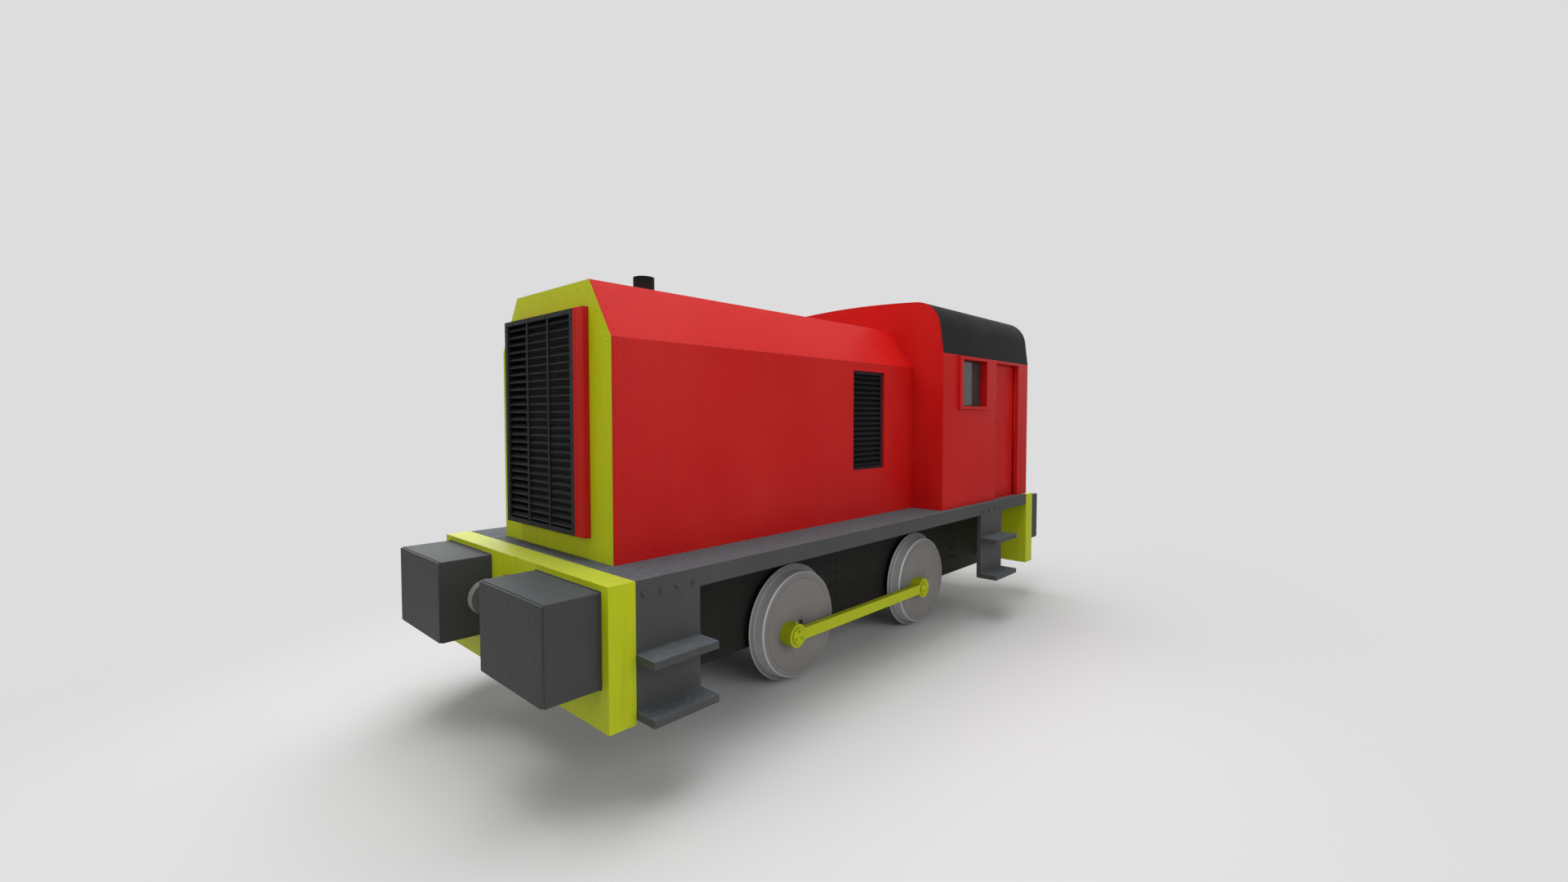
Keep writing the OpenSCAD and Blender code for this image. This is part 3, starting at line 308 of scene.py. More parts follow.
def lozenges(name, fields):
    # Each field is a level rectangle: x0, x1, y0, y1 and its height.
    spots, leans = [], []
    for x0, x1, y0, y1, level in fields:
        across, along = [int((b - a - plain_edge) / lozenge_pitch) for a, b in ((x0, x1), (y0, y1))]
        for i in range(across + 1):
            for j in range(along + 1):
                x = (x0 + x1) / 2 + (i - across / 2) * lozenge_pitch
                y = (y0 + y1) / 2 + (j - along / 2) * lozenge_pitch
                spots.append((x, y, level))
                leans.append((0, 0, math.pi / 4 if (i + j) % 2 else -math.pi / 4))
    planted(name, raised_pattern, spots, lozenge, deck_grey, "chassis", leans)


deck_edge, deck_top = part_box("footplate")[1].yz
side_low, side_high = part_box("bonnet_side_left")
front_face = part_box("bonnet_front")[1].x
beam_back, beam_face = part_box("front_buffer_beam")[0].x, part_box("front_buffer_beam")[1].x
lozenges("deck_pattern", [
    (side_low.x, beam_back, side_high.y, deck_edge, deck_top),
    (side_low.x, beam_back, -deck_edge, -side_high.y, deck_top),
    (front_face, beam_back, -side_high.y, side_high.y, deck_top)])


# Buffer beams: deep boxes across both ends, welded from thick plate and painted yellow to be seen.
# A thick even coat, chipped to dark primer along the arrises.
yellow = {"coat": "#A8B20A", "faded": "#AEB622", "under": "#4B4A2E"}
# Its upward faces carry a pale film of painted sky light.
sight_yellow = enamel("sight_yellow_enamel", **yellow, rough=0.48, dust=0.06, skylight_and_dust=0.10)
dress(sight_yellow, "front_buffer_beam", "rear_buffer_beam")


# Block buffers: square boxes welded from plate on the beam's face, each with a flat rubbing plate on
# its end. Dark grey enamel; the rubbing plates are held by flush screws, and a fillet weld runs
# round each box on the beam.
# Its upward faces carry a faint film of painted sky light.
buffer_grey = enamel("dark_grey_buffer_enamel", "#383939", "#3F4141", grey_primer, rough=0.60, dust=0.04,
                     skylight_and_dust=0.06)
dress(buffer_grey, "front_buffers", "rear_buffers")


def weld_tree():
    # A laid bead along a line, swelling and shrinking by chance from ripple to ripple.
    tree, size = grown("weld_bead", ["Bead width", "Ripple length"])
    line = add(tree, "GeometryNodeMeshToCurve", {0: size["Geometry"]})
    split = add(tree, "GeometryNodeResampleCurve", {
        "Curve": line[0], "Length": size["Ripple length"]}, mode="LENGTH")
    chance = add(tree, "FunctionNodeRandomValue", {"Seed": 11, 2: 0.8, 3: 1.2}, data_type="FLOAT")[1]
    swell = add(tree, "GeometryNodeSetCurveRadius", {"Curve": split[0], "Radius": chance})
    half = add(tree, "ShaderNodeMath", {0: size["Bead width"], 1: 0.5}, operation="MULTIPLY")[0]
    ring = add(tree, "GeometryNodeCurvePrimitiveCircle", {"Resolution": 6, "Radius": half})
    swept = add(tree, "GeometryNodeCurveToMesh", {
        "Curve": swell[0], "Profile Curve": ring[0]})
    soft = add(tree, "GeometryNodeSetShadeSmooth", {0: swept[0]})
    return ended(tree, soft[0], size["Finish"])


def closed(first):
    # Lines round four points, the first of which has this number.
    return [(first + i, first + (i + 1) % 4) for i in range(4)]


weld_bead = weld_tree()
buffer_bead = {"Bead width": 0.016, "Ripple length": 0.02}
face_screw = {"Head diameter": 0.036, "Head height": 0.0015}
block_wide, screw_edge = 0.860, 0.075
block_low, block_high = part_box("front_buffers")
block_near = block_high.y - block_wide
spots, lines, screws, looks = [], [], [], []
for end in (1, -1):
    for side in (1, -1):
        first = len(spots)
        for y, z in ((block_near, block_low.z), (block_high.y, block_low.z),
                     (block_high.y, block_high.z), (block_near, block_high.z)):
            spots.append((end * beam_face, side * y, z))
        lines += closed(first)
        for i in range(3):
            for j in range(3):
                if (i, j) != (1, 1):
                    y = block_near + screw_edge + i * (block_wide / 2 - screw_edge)
                    z = block_low.z + screw_edge + j * ((block_high.z - block_low.z) / 2 - screw_edge)
                    screws.append((end * block_high.x, side * y, z))
                    looks.append((end, 0, 0))
planted("buffer_welds", weld_bead, spots, buffer_bead, buffer_grey, "chassis", edges=lines)
planted("buffer_face_screws", snap_rivets, screws, face_screw, buffer_grey, "chassis", looks)


# Drawhooks: a forged hook at each end, its shank through the beam between two bolted plates.
# Black-scaled forging steel, rubbed paler along its edges where links ride.
forging = enamel("black_scaled_forging_steel", "#5A5A5B", "#676665", "#8C8882", rough=0.5, dust=0.08,
                 wear=0.8, wave=0.0015, sheen=0.4)
dress(forging, "front_drawhook", "rear_drawhook")
hook_bolt = {"Across corners": 0.036, "Head height": 0.018, "Washer diameter": 0.044}
hook_under, hook_plate_t, hook_bolt_off = 0.272, 0.022, 0.085
spots, looks = [], []
for end in (1, -1):
    for y in (-hook_bolt_off, hook_bolt_off):
        for z in (-hook_bolt_off, hook_bolt_off):
            spots.append((end * (beam_face + hook_plate_t), y, deck_top - hook_under + z))
            looks.append((end, 0, 0))
planted("hook_plate_bolts", hex_bolts, spots, hook_bolt, forging, "chassis", looks)


# Step ladders: a backing plate with folded edges below the footplate at each corner, carrying two
# folded treads. Bent and welded plate in the deck's grey, with the same raised pattern underfoot,
# bolted through the footplate's edge.
front_drop, rear_drop = 0.472, 0.406
ladders = {"front_steps_left": front_drop, "front_steps_right": front_drop,
           "rear_steps_left": rear_drop, "rear_steps_right": rear_drop}
dress(deck_grey, *ladders)
step_bolt = {"Across corners": 0.028, "Head height": 0.012, "Washer diameter": 0.034}
tread_bead = {"Bead width": 0.011, "Ripple length": 0.018}
step_bolts, step_bolt_edge, step_bolt_drop, tread_rim, tread_heel = 4, 0.06, 0.095, 0.052, 0.004
fields, spots, looks, seams, lines = [], [], [], [], []
for name, upper_drop in ladders.items():
    low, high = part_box(name)
    side = 1 if high.y > 0 else -1
    reach = max(abs(low.y), abs(high.y))
    for level in (deck_top - upper_drop, low.z + tread_rim):
        fields.append((low.x, high.x, *sorted((side * (deck_edge + tread_heel), side * reach)), level))
        seams += [(low.x, side * deck_edge, level), (high.x, side * deck_edge, level)]
        lines.append((len(seams) - 2, len(seams) - 1))
    for step in range(step_bolts):
        x = low.x + step_bolt_edge + step * (high.x - low.x - 2 * step_bolt_edge) / (step_bolts - 1)
        spots.append((x, side * deck_edge, deck_top - step_bolt_drop))
        looks.append((0, side, 0))
lozenges("tread_pattern", fields)
planted("step_bolts", hex_bolts, spots, step_bolt, deck_grey, "chassis", looks)
planted("tread_welds", weld_bead, seams, tread_bead, deck_grey, "chassis", edges=lines)


# Bonnet: two framed side sheets and a folded top with sloping shoulders over the engine, screwed to
# the footplate. Sheet steel sprayed red outside, flat on the sides and catching the sky on the
# slopes, and painted near black within as painted shade; button-head screws run along the edges.
red, near_black_inner_shade = "#AA0F0E", "#1A1A19"
red_coat = {"coat": red, "faded": "#B01F1B", "under": "#3A1512", "rough": 0.42, "dust": 0.05}
crest_half, bonnet_skin = 0.567, 0.035
slope_half, shoulder_z = side_high.y, side_high.z
crest_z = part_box("bonnet_top")[1].z
slope_out = Vector((0, crest_z - shoulder_z, slope_half - crest_half)).normalized()


def bonnet_inside(tree, spot, skin):
    # Deeper than the framed sheets are thick, from the sides, the slopes and the crest.
    folded = add(tree, "ShaderNodeVectorMath", {0: spot}, operation="ABSOLUTE")[0]
    parts = add(tree, "ShaderNodeSeparateXYZ", {0: folded})
    slope = add(tree, "ShaderNodeVectorMath", {
        0: folded, 1: slope_out}, operation="DOT_PRODUCT")["Value"]
    slope_face = slope_out.dot(Vector((0, slope_half, shoulder_z)))
    deep = 1.0
    for value, face in ((parts["Y"], slope_half), (slope, slope_face), (parts["Z"], crest_z)):
        depth = face - bonnet_skin
        inner = add(tree, "ShaderNodeMath", {0: value, 1: depth}, operation="LESS_THAN")[0]
        deep = add(tree, "ShaderNodeMath", {0: deep, 1: inner}, operation="MULTIPLY")[0]
    return deep


# Its inside faces are painted near black: painted shade inside the bonnet.
body_red = enamel("signal_red_enamel", **red_coat, second=[(bonnet_inside, near_black_inner_shade)])
dress(body_red, "bonnet_side_left", "bonnet_side_right", "bonnet_top")


def between(start, stop, pitch):
    start, stop = Vector(start), Vector(stop)
    count = max(1, round((stop - start).length / pitch))
    return [tuple(start.lerp(stop, i / count)) for i in range(count + 1)]


red_screws = enamel("red_screw_head_enamel", **red_coat, wear=0.0)
sheet_screw, sheet_pitch = {"Head diameter": 0.016, "Head height": 0.004}, 0.24
edge_in, corner_in, front_in, slope_in = 0.035, 0.10, 0.05, 0.14
aft, fore = side_low.x + corner_in, front_face - front_in
foot, brow = deck_top + edge_in, shoulder_z - edge_in
shoulder, crest = Vector((fore, slope_half, shoulder_z)), Vector((fore, crest_half, crest_z))
spots, looks = [], []
for start, stop, out in (
        ((aft, slope_half, foot), (fore, slope_half, foot), Vector((0, 1, 0))),
        ((fore, slope_half, foot + corner_in), (fore, slope_half, brow - corner_in), Vector((0, 1, 0))),
        ((aft, slope_half, brow), (fore, slope_half, brow), Vector((0, 1, 0))),
        (shoulder.lerp(crest, slope_in), shoulder.lerp(crest, 1 - slope_in), slope_out)):
    for side in (1, -1):
        for x, y, z in between(start, stop, sheet_pitch):
            spots.append((x, side * y, z))
            looks.append((out.x, side * out.y, out.z))
planted("bonnet_screws", snap_rivets, spots, sheet_screw, red_screws, "chassis", looks)


# Bonnet front: one flat plate closing the bonnet, with the radiator's opening cut in it.
# Yellow on its face only; its edges are red with the sides, and the opening is painted black inside as
# painted shade.
def within(low, high):
    # Inside the box between two corners.
    def mask(tree, spot, skin):
        middle = tuple((a + b) / 2 for a, b in zip(low, high))
        reach = tuple((b - a) / 2 for a, b in zip(low, high))
        off = add(tree, "ShaderNodeVectorMath", {0: spot, 1: middle}, operation="SUBTRACT")[0]
        share = add(tree, "ShaderNodeVectorMath", {0: off, 1: reach}, operation="DIVIDE")[0]
        size = add(tree, "ShaderNodeVectorMath", {0: share}, operation="ABSOLUTE")[0]
        parts = add(tree, "ShaderNodeSeparateXYZ", {0: size})
        most = add(tree, "ShaderNodeMath", {0: parts[0], 1: parts[1]}, operation="MAXIMUM")[0]
        most = add(tree, "ShaderNodeMath", {0: most, 1: parts[2]}, operation="MAXIMUM")[0]
        return add(tree, "ShaderNodeMath", {0: most, 1: 1.0}, operation="LESS_THAN")[0]
    return mask


def lengthwise(test):
    # How far a face looks along the vehicle, either way, put to the test against a half.
    def mask(tree, spot, skin):
        along = add(tree, "ShaderNodeSeparateXYZ", {0: skin})["X"]
        size = add(tree, "ShaderNodeMath", {0: along}, operation="ABSOLUTE")[0]
        return add(tree, "ShaderNodeMath", {0: size, 1: 0.5}, operation=test)[0]
    return mask


def drawn_in(box, ahead, inset):
    # The box lengthened along the vehicle and drawn in from the sides, the top and the bottom.
    low, high = box
    return within((low.x - ahead, low.y + inset, low.z + inset),
                  (high.x + ahead, high.y - inset, high.z - inset))


# The radiator opening's inner faces are painted black: painted shade in the recess.
inner_shade_black, opening_deep, opening_inset, casing_inset = "#151516", 0.16, 0.015, 0.047
plate_edges, casing_box = lengthwise("LESS_THAN"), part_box("radiator_casing")
front_yellow = enamel("yellow_faced_enamel", **yellow, rough=0.46, dust=0.05, second=[
    (plate_edges, red), (drawn_in(casing_box, opening_deep, opening_inset), inner_shade_black)])
dress(front_yellow, "bonnet_front")
yellow_screws = enamel("yellow_screw_head_enamel", **yellow, rough=0.46, dust=0.05, wear=0.0)
plate_screw, plate_pitch = {"Head diameter": 0.018, "Head height": 0.005}, 0.26
upright_in, row_in, crest_end_in, brow_in = 0.046, 0.05, 0.167, 0.02
slope_foot_in, slope_foot_up, slope_head_in, slope_head_down = 0.02, 0.03, 0.01, 0.06
upright, crest_row, foot_row = slope_half - upright_in, crest_z - row_in, deck_top + row_in
spots = []
for start, stop in (
        ((upright, foot_row), (upright, shoulder_z - brow_in)),
        ((upright - slope_foot_in, shoulder_z + slope_foot_up),
         (crest_half - slope_head_in, crest_z - slope_head_down)),
        ((crest_half - crest_end_in, crest_row), (0.0, crest_row)),
        ((upright - plate_pitch, foot_row), (0.0, foot_row))):
    spots += between((front_face, *start), (front_face, *stop), plate_pitch)
spots += [(x, -y, z) for x, y, z in spots if y > 0]
planted("front_plate_screws", snap_rivets, spots, plate_screw, yellow_screws, "chassis",
        (1, 0, 0))


# Radiator: a shallow tapered casing standing out of the front plate, red outside and painted black
# within as painted shade, with a black slatted grille screwed on its front, red round its outer
# edge, and the finned cooling block behind.
# The casing's inner faces are painted black: painted shade inside the casing.
casing_red = enamel("radiator_casing_enamel", **red_coat, second=[
    (drawn_in(casing_box, opening_deep, casing_inset), inner_shade_black)])
dress(casing_red, "radiator_casing")
grille_low, grille_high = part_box("radiator_grille")
blade_deep, rim_wide = 0.1, 0.024
slats = drawn_in((grille_low, grille_high), blade_deep, rim_wide)


def grille_rim(tree, spot, skin):
    # The rim's outer edges, without the blades inside it.
    blades = slats(tree, spot, skin)
    outside = add(tree, "ShaderNodeMath", {0: 1.0, 1: blades}, operation="SUBTRACT")[0]
    edge = plate_edges(tree, spot, skin)
    return add(tree, "ShaderNodeMath", {0: outside, 1: edge}, operation="MULTIPLY")[0]


black_coat = {"coat": "#1A1B1C", "faded": "#212224", "under": "#3C3A37", "rough": 0.5, "dust": 0.04}
grille_black = enamel("black_stove_enamel_red_edged", **black_coat, wear=0.3, second=[(grille_rim, red)])
dress(grille_black, "radiator_grille")
black_screws = enamel("black_screw_head_enamel", **black_coat, wear=0.0)
grille_screw, grille_pitch = {"Head diameter": 0.018, "Head height": 0.004}, 0.28
upright_in, level_in, upright_end, level_half = 0.028, 0.026, 0.08, 0.40
rim_y, face = grille_high.y - upright_in, grille_high.x
spots = []
for y in (-rim_y, rim_y):
    spots += between((face, y, grille_low.z + upright_end),
                     (face, y, grille_high.z - upright_end), grille_pitch)
for z in (grille_low.z + level_in, grille_high.z - level_in):
    spots += between((face, -level_half, z), (face, level_half, z), grille_pitch)
planted("grille_screws", snap_rivets, spots, grille_screw, black_screws, "chassis",
        (1, 0, 0))


def mottled(name, size, colours, rough, detail=4.0, span=(0.0, 1.0), sheen=0.5, metal=0.0, relief=None):
    # A plain stuff whose two shades cloud into each other, and with them its two roughnesses.
    # size is that of the clouds, in metres; span is the part of them that the roughness follows;
    # relief makes a raised pattern.
    material, tree = blank(name)
    spot = add(tree, "ShaderNodeTexCoord")["Object"]
    cloud = add(tree, "ShaderNodeTexNoise", {"Vector": spot, "Scale": 1 / size, "Detail": detail})[0]
    first, second = [linear(code) for code in colours]
    shade = add(tree, "ShaderNodeMix", {0: cloud, 6: first, 7: second}, data_type="RGBA")[2]
    dull = add(tree, "ShaderNodeMapRange", {
        0: cloud, 1: span[0], 2: span[1], 3: rough[0], 4: rough[1]})[0]
    look = {"Base Color": shade, "Roughness": dull, "Metallic": metal, "Specular IOR Level": sheen}
    if relief:
        look["Normal"] = relief(tree, spot)
    shader = add(tree, "ShaderNodeBsdfPrincipled", look)
    add(tree, "ShaderNodeOutputMaterial", {"Surface": shader[0]})
    return material


def cooling_fins(tree, spot):
    # The fins stand two millimetres apart, too close to show, so they are drawn every eight.
    fin_pitch, fin_high = 0.008, 0.002
    fins = add(tree, "ShaderNodeTexWave", {
        "Vector": spot, "Scale": math.pi / 10 / fin_pitch}, bands_direction="Y")
    return add(tree, "ShaderNodeBump", {"Strength": 0.8, "Distance": fin_high, "Height": fins["Fac"]})[0]


# Dusty black, a shade browner where the tubes pass.
core = mottled("finned_cooling_block", 0.03, ("#121213", "#232220"), (0.5, 0.75), detail=2.0, sheen=0.3,
               relief=cooling_fins)
dress(core, "radiator_core")


# Side vents: a louvred panel let into each bonnet side from behind. Pressed blades in a flat rim,
# stove-enamelled black, screwed round the rim; a folded filter mat stands behind each.
stove_black = enamel("black_stove_enamel", **black_coat, wear=0.3)
dress(stove_black, "bonnet_vent_left", "bonnet_vent_right")
vent_screw, vent_pitch, vent_in = {"Head diameter": 0.014, "Head height": 0.004}, 0.24, 0.036
vent_low, vent_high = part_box("bonnet_vent_left")
x0, x1 = vent_low.x + vent_in, vent_high.x - vent_in
z0, z1 = vent_low.z + vent_in, vent_high.z - vent_in
spots, looks = [], []
for side in (1, -1):
    face = side * vent_high.y
    for start, stop in (((x0, z0), (x1, z0)), ((x0, z1), (x1, z1)),
                        ((x0, z0 + vent_pitch), (x0, z1 - vent_pitch)),
                        ((x1, z0 + vent_pitch), (x1, z1 - vent_pitch))):
        row = between((start[0], face, start[1]), (stop[0], face, stop[1]), vent_pitch)
        spots += row
        looks += [(0, side, 0)] * len(row)
planted("vent_screws", snap_rivets, spots, vent_screw, black_screws, "chassis", looks)

# Behind each panel stands a filter mat of grey felt, folded every 40 mm and dark with road dust.
felt = mottled("grey_filter_felt", 0.012, ("#1A1A19", "#2C2B29"), (0.85, 0.95), sheen=0.1)


def finished(name, bm, finish, body, crease=35):
    bmesh.ops.remove_doubles(bm, verts=bm.verts, dist=1e-5)
    bmesh.ops.recalc_face_normals(bm, faces=bm.faces)
    mesh = bpy.data.meshes.new(name)
    bm.to_mesh(mesh)
    bm.free()
    mesh.materials.append(finish)
    mesh.polygons.foreach_set("use_smooth", [True] * len(mesh.polygons))
    mesh.set_sharp_from_angle(angle=math.radians(crease))
    piece = bpy.data.objects.new(name, mesh)
    bpy.context.scene.collection.objects.link(piece)
    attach(piece, body)
    return piece


fold_pitch, fold_deep, mat_behind, mat_t = 0.040, 0.030, 0.012, 0.003
folds = round((vent_high.x - vent_low.x) / fold_pitch)
for side, hand in ((1, "left"), (-1, "right")):
    bm = bmesh.new()
    rows = []
    for step in range(2 * folds + 1):
        x = vent_low.x + (vent_high.x - vent_low.x) * step / (2 * folds)
        y = side * (vent_low.y - mat_behind - fold_deep * (step % 2))
        rows.append([bm.verts.new((x, y, z)) for z in (vent_low.z, vent_high.z)])
    for near, far in zip(rows, rows[1:]):
        bm.faces.new((near[0], far[0], far[1], near[1]))
    bmesh.ops.solidify(bm, geom=bm.faces[:], thickness=mat_t)
    finished(f"vent_filter_{hand}", bm, felt, "chassis", crease=20)


# Exhaust: a short open steel tube with a bolted flange on the bonnet's crest.
# Heat-black paint gone dull, sooted at the mouth.
stack_low, stack_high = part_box("exhaust_stack")
soot_deep = 0.13


def sooted(tree, spot, skin):
    up = add(tree, "ShaderNodeSeparateXYZ", {0: spot})["Z"]
    return add(tree, "ShaderNodeMapRange", {
        0: up, 1: stack_high.z - soot_deep, 2: stack_high.z, 3: 0.0, 4: 0.9})[0]


heat_black = enamel("heat_black_paint", "#1C1C1C", "#242323", "#332D29", rough=0.7, dust=0.0, sheen=0.1,
                    second=[(sooted, "#0C0B0B")])
dress(heat_black, "exhaust_stack")
stack_bolt = {"Across corners": 0.022, "Head height": 0.010, "Washer diameter": 0.026}
stack_x, stack_flange_t, stack_ring = (stack_low.x + stack_high.x) / 2, 0.014, 0.110
spots = []
for turn in range(30, 360, 60):
    x, y = [stack_ring * wave(math.radians(turn)) for wave in (math.cos, math.sin)]
    spots.append((stack_x + x, y, stack_low.z + stack_flange_t))
planted("exhaust_flange_bolts", hex_bolts, spots, stack_bolt, heat_black, "chassis",
        (0, 0, 1))


# Engine: a cast mass on the frame inside the bonnet that shows only between the vent blades.
# Grey-green machinery enamel, oily.
machine_green = enamel("grey_green_machinery_enamel", "#3E4A42", "#4A554C", "#2E2E2A", rough=0.45,
                       dust=0.05)
dress(machine_green, "engine_block")


# Cab: end and side walls of sheet steel on a light frame, red outside and pale grey within,
# under a curved roof sheet painted dull black, its cut ends red with the walls.
# Screwed along the foot and the corners.
wall_t, seen_in, below_floor, above_eave, cab_sheen = 0.110, 0.0005, 0.04, 0.7, 0.08
cab_low, cab_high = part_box("cab_side_left")
cab_face, eave_z = cab_high.y, cab_high.z
front_wall, rear_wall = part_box("cab_front")[1].x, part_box("cab_rear")[0].x
inner_y, inner_grey = cab_face - wall_t + seen_in, "#74776F"
cab_inside = within((cab_low.x - seen_in, -inner_y, deck_top - below_floor),
                    (cab_high.x + seen_in, inner_y, eave_z + above_eave))
cab_red = enamel("cab_red_enamel", **red_coat, sheen=cab_sheen, second=[(cab_inside, inner_grey)])
dress(cab_red, "cab_front", "cab_rear", "cab_side_left", "cab_side_right", "window_frames")


def under_roof(tree, spot, skin):
    # The faces that look towards a line along the cab, a little under the eaves.
    hub_down = 0.08
    hub = (0.0, 0.0, eave_z - hub_down)
    out = add(tree, "ShaderNodeVectorMath", {0: spot, 1: hub}, operation="SUBTRACT")[0]
    flat = add(tree, "ShaderNodeVectorMath", {0: out, 1: (0.0, 1.0, 1.0)}, operation="MULTIPLY")[0]
    inward = add(tree, "ShaderNodeVectorMath", {0: flat, 1: skin}, operation="DOT_PRODUCT")["Value"]
    return add(tree, "ShaderNodeMath", {0: inward, 1: -0.05}, operation="LESS_THAN")[0]


sheet_ends = lengthwise("GREATER_THAN")
roof_black = enamel("black_roof_paint", "#151716", "#1D1F1E", "#3A3733", rough=0.68, dust=0.0, wear=0.3,
                    wave=0.0016, sheen=0.1, second=[(under_roof, inner_grey), (sheet_ends, red)])
dress(roof_black, "cab_roof")
cab_pitch, cab_edge, foot_up, head_down = 0.21, 0.03, 0.06, 0.05
sill_front, sill_door, sill_middle, sill_corner = 0.22, 0.063, 0.08, 0.20
door_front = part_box("cab_door_left")[1].x
foot, head, low_row = deck_top + foot_up, eave_z - head_down, deck_top + cab_edge
spots, looks = [], []
for side in (1, -1):
    face = side * cab_face
    rows = (between((front_wall - cab_edge, face, foot), (front_wall - cab_edge, face, head), cab_pitch)
            + between((rear_wall + cab_edge, face, foot), (rear_wall + cab_edge, face, head), cab_pitch)
            + between((front_wall - sill_front, face, low_row),
                      (door_front + sill_door, face, low_row), cab_pitch))
    spots += rows
    looks += [(0, side, 0)] * len(rows)
    corner = side * (cab_face - cab_edge)
    rows = (between((rear_wall, corner, foot), (rear_wall, corner, head), cab_pitch)
            + between((rear_wall, side * sill_middle, low_row),
                      (rear_wall, side * (cab_face - sill_corner), low_row), cab_pitch))
    spots += rows
    looks += [(-1, 0, 0)] * len(rows)
planted("cab_screws", snap_rivets, spots, sheet_screw, red_screws, "chassis", looks)


# Windows: grey laminated panes set back in the walls behind raised red frames, each bedded in a
# black rubber strip. Clear to look through but dim, with a thin film of dust that softens
# the reflections.
glass, tree = blank("grey_laminated_glass")
spot = add(tree, "ShaderNodeTexCoord")["Object"]
film = add(tree, "ShaderNodeTexNoise", {"Vector": spot, "Scale": 1 / 0.12, "Detail": 3.0})[0]
haze = add(tree, "ShaderNodeMapRange", {0: film, 1: 0.3, 2: 0.7, 3: 0.02, 4: 0.07})[0]
pane = add(tree, "ShaderNodeBsdfPrincipled", {
    "Base Color": linear("#5C6060"), "Roughness": haze, "Transmission Weight": 0.72, "IOR": 1.5,
    "Specular IOR Level": 0.22})
add(tree, "ShaderNodeOutputMaterial", {"Surface": pane[0]})
dress(glass, "window_glass")

# Extruded glazing rubber: dull black with a faint bloom.
rubber = mottled("black_glazing_rubber", 0.02, ("#0F0F0F", "#262625"), (0.6, 0.85), sheen=0.3)


def bar_tree():
    # A round bar or strip along a line, bent at its corners.
    tree, size = grown("bent_bar", ["Bar diameter", "Bend radius"])
    line = add(tree, "GeometryNodeMeshToCurve", {0: size["Geometry"]})
    bent = add(tree, "GeometryNodeFilletCurve", {
        "Curve": line[0], "Count": 6, "Radius": size["Bend radius"], "Limit Radius": True}, mode="POLY")
    half = add(tree, "ShaderNodeMath", {0: size["Bar diameter"], 1: 0.5}, operation="MULTIPLY")[0]
    ring = add(tree, "GeometryNodeCurvePrimitiveCircle", {"Resolution": 12, "Radius": half})
    swept = add(tree, "GeometryNodeCurveToMesh", {
        "Curve": bent[0], "Profile Curve": ring[0], "Fill Caps": True})
    soft = add(tree, "GeometryNodeSetShadeSmooth", {0: swept[0]})
    return ended(tree, soft[0], size["Finish"])


bent_bar = bar_tree()
glazing_strip, strip_in = {"Bar diameter": 0.020, "Bend radius": 0.02}, 0.009
pane_wide, rear_middle = 0.60, 0.56
pane_low, pane_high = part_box("window_glass")
corners = []
for side in (1, -1):
    x0, x1 = pane_high.x - pane_wide, pane_high.x
    corners.append([(x, side * pane_high.y, z) for x, z in (
        (x0, pane_low.z), (x1, pane_low.z), (x1, pane_high.z), (x0, pane_high.z))])
    y0, y1 = side * rear_middle - pane_wide / 2, side * rear_middle + pane_wide / 2
    corners.append([(pane_low.x, y, z) for y, z in (
        (y0, pane_low.z), (y1, pane_low.z), (y1, pane_high.z), (y0, pane_high.z))])
spots, lines = [], []
for ring in corners:
    centre = sum((Vector(c) for c in ring), Vector()) / 4
    first = len(spots)
    spots += [tuple(Vector(c) + (centre - Vector(c)).normalized() * strip_in) for c in ring]
    lines += closed(first)
planted("glazing_strips", bent_bar, spots, glazing_strip, rubber, "chassis", edges=lines)


# Doors: flat red leaves hung inside the openings on loose-pin hinges, grey on the cab side.
# Each has a bent lever handle on a blank backplate on both faces, painted over with the leaf
# outside and in dull plated steel within.
leaf_t, leaf_clear = 0.040, 0.1
door_low, door_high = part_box("cab_door_left")
door_out, door_in = door_high.y, door_high.y - leaf_t
leaf_inside = within((door_low.x - leaf_clear, -door_in - seen_in, door_low.z - leaf_clear),
                     (door_high.x + leaf_clear, door_in + seen_in, door_high.z + leaf_clear))
door_red = enamel("door_red_enamel", **red_coat, sheen=cab_sheen, second=[(leaf_inside, inner_grey)])
dress(door_red, "cab_door_left", "cab_door_right")
# A half-round stop bead runs round each reveal just outside the leaf, painted with the wall.
stop_bead, stop_clear = {"Bar diameter": 0.024, "Bend radius": 0.004}, 0.006
leaf_gap, opening_wide = 0.008, 0.671
spots, lines = [], []
for side in (1, -1):
    y = side * (door_out + stop_clear + stop_bead["Bar diameter"] / 2)
    x1 = door_high.x + leaf_gap
    x0 = x1 - opening_wide
    z0, z1 = door_low.z - leaf_gap, door_high.z + leaf_gap
    first = len(spots)
    spots += [(x0, y, z0), (x1, y, z0), (x1, y, z1), (x0, y, z1)]
    lines += closed(first)
planted("door_stop_beads", bent_bar, spots, stop_bead, cab_red, "chassis", edges=lines)
# Nickel plating gone dull, with darker patches where hands have been.
plated = mottled("dull_plated_steel", 0.03, ("#A3A29E", "#7E7C77"), (0.28, 0.5), span=(0.3, 0.7),
                 metal=1.0)


def rounded_plate(bm, corner, other, ease):
    middle = (Vector(corner) + Vector(other)) / 2
    spread = [abs(b - a) for a, b in zip(corner, other)]
    made = bmesh.ops.create_cube(bm, size=1.0)["verts"]
    for v in made:
        v.co = middle + Vector([c * s for c, s in zip(v.co, spread)])
    edges = {e for v in made for e in v.link_edges}
    bmesh.ops.bevel(bm, geom=list(edges), offset=ease, segments=3, profile=0.5, affect="EDGES")


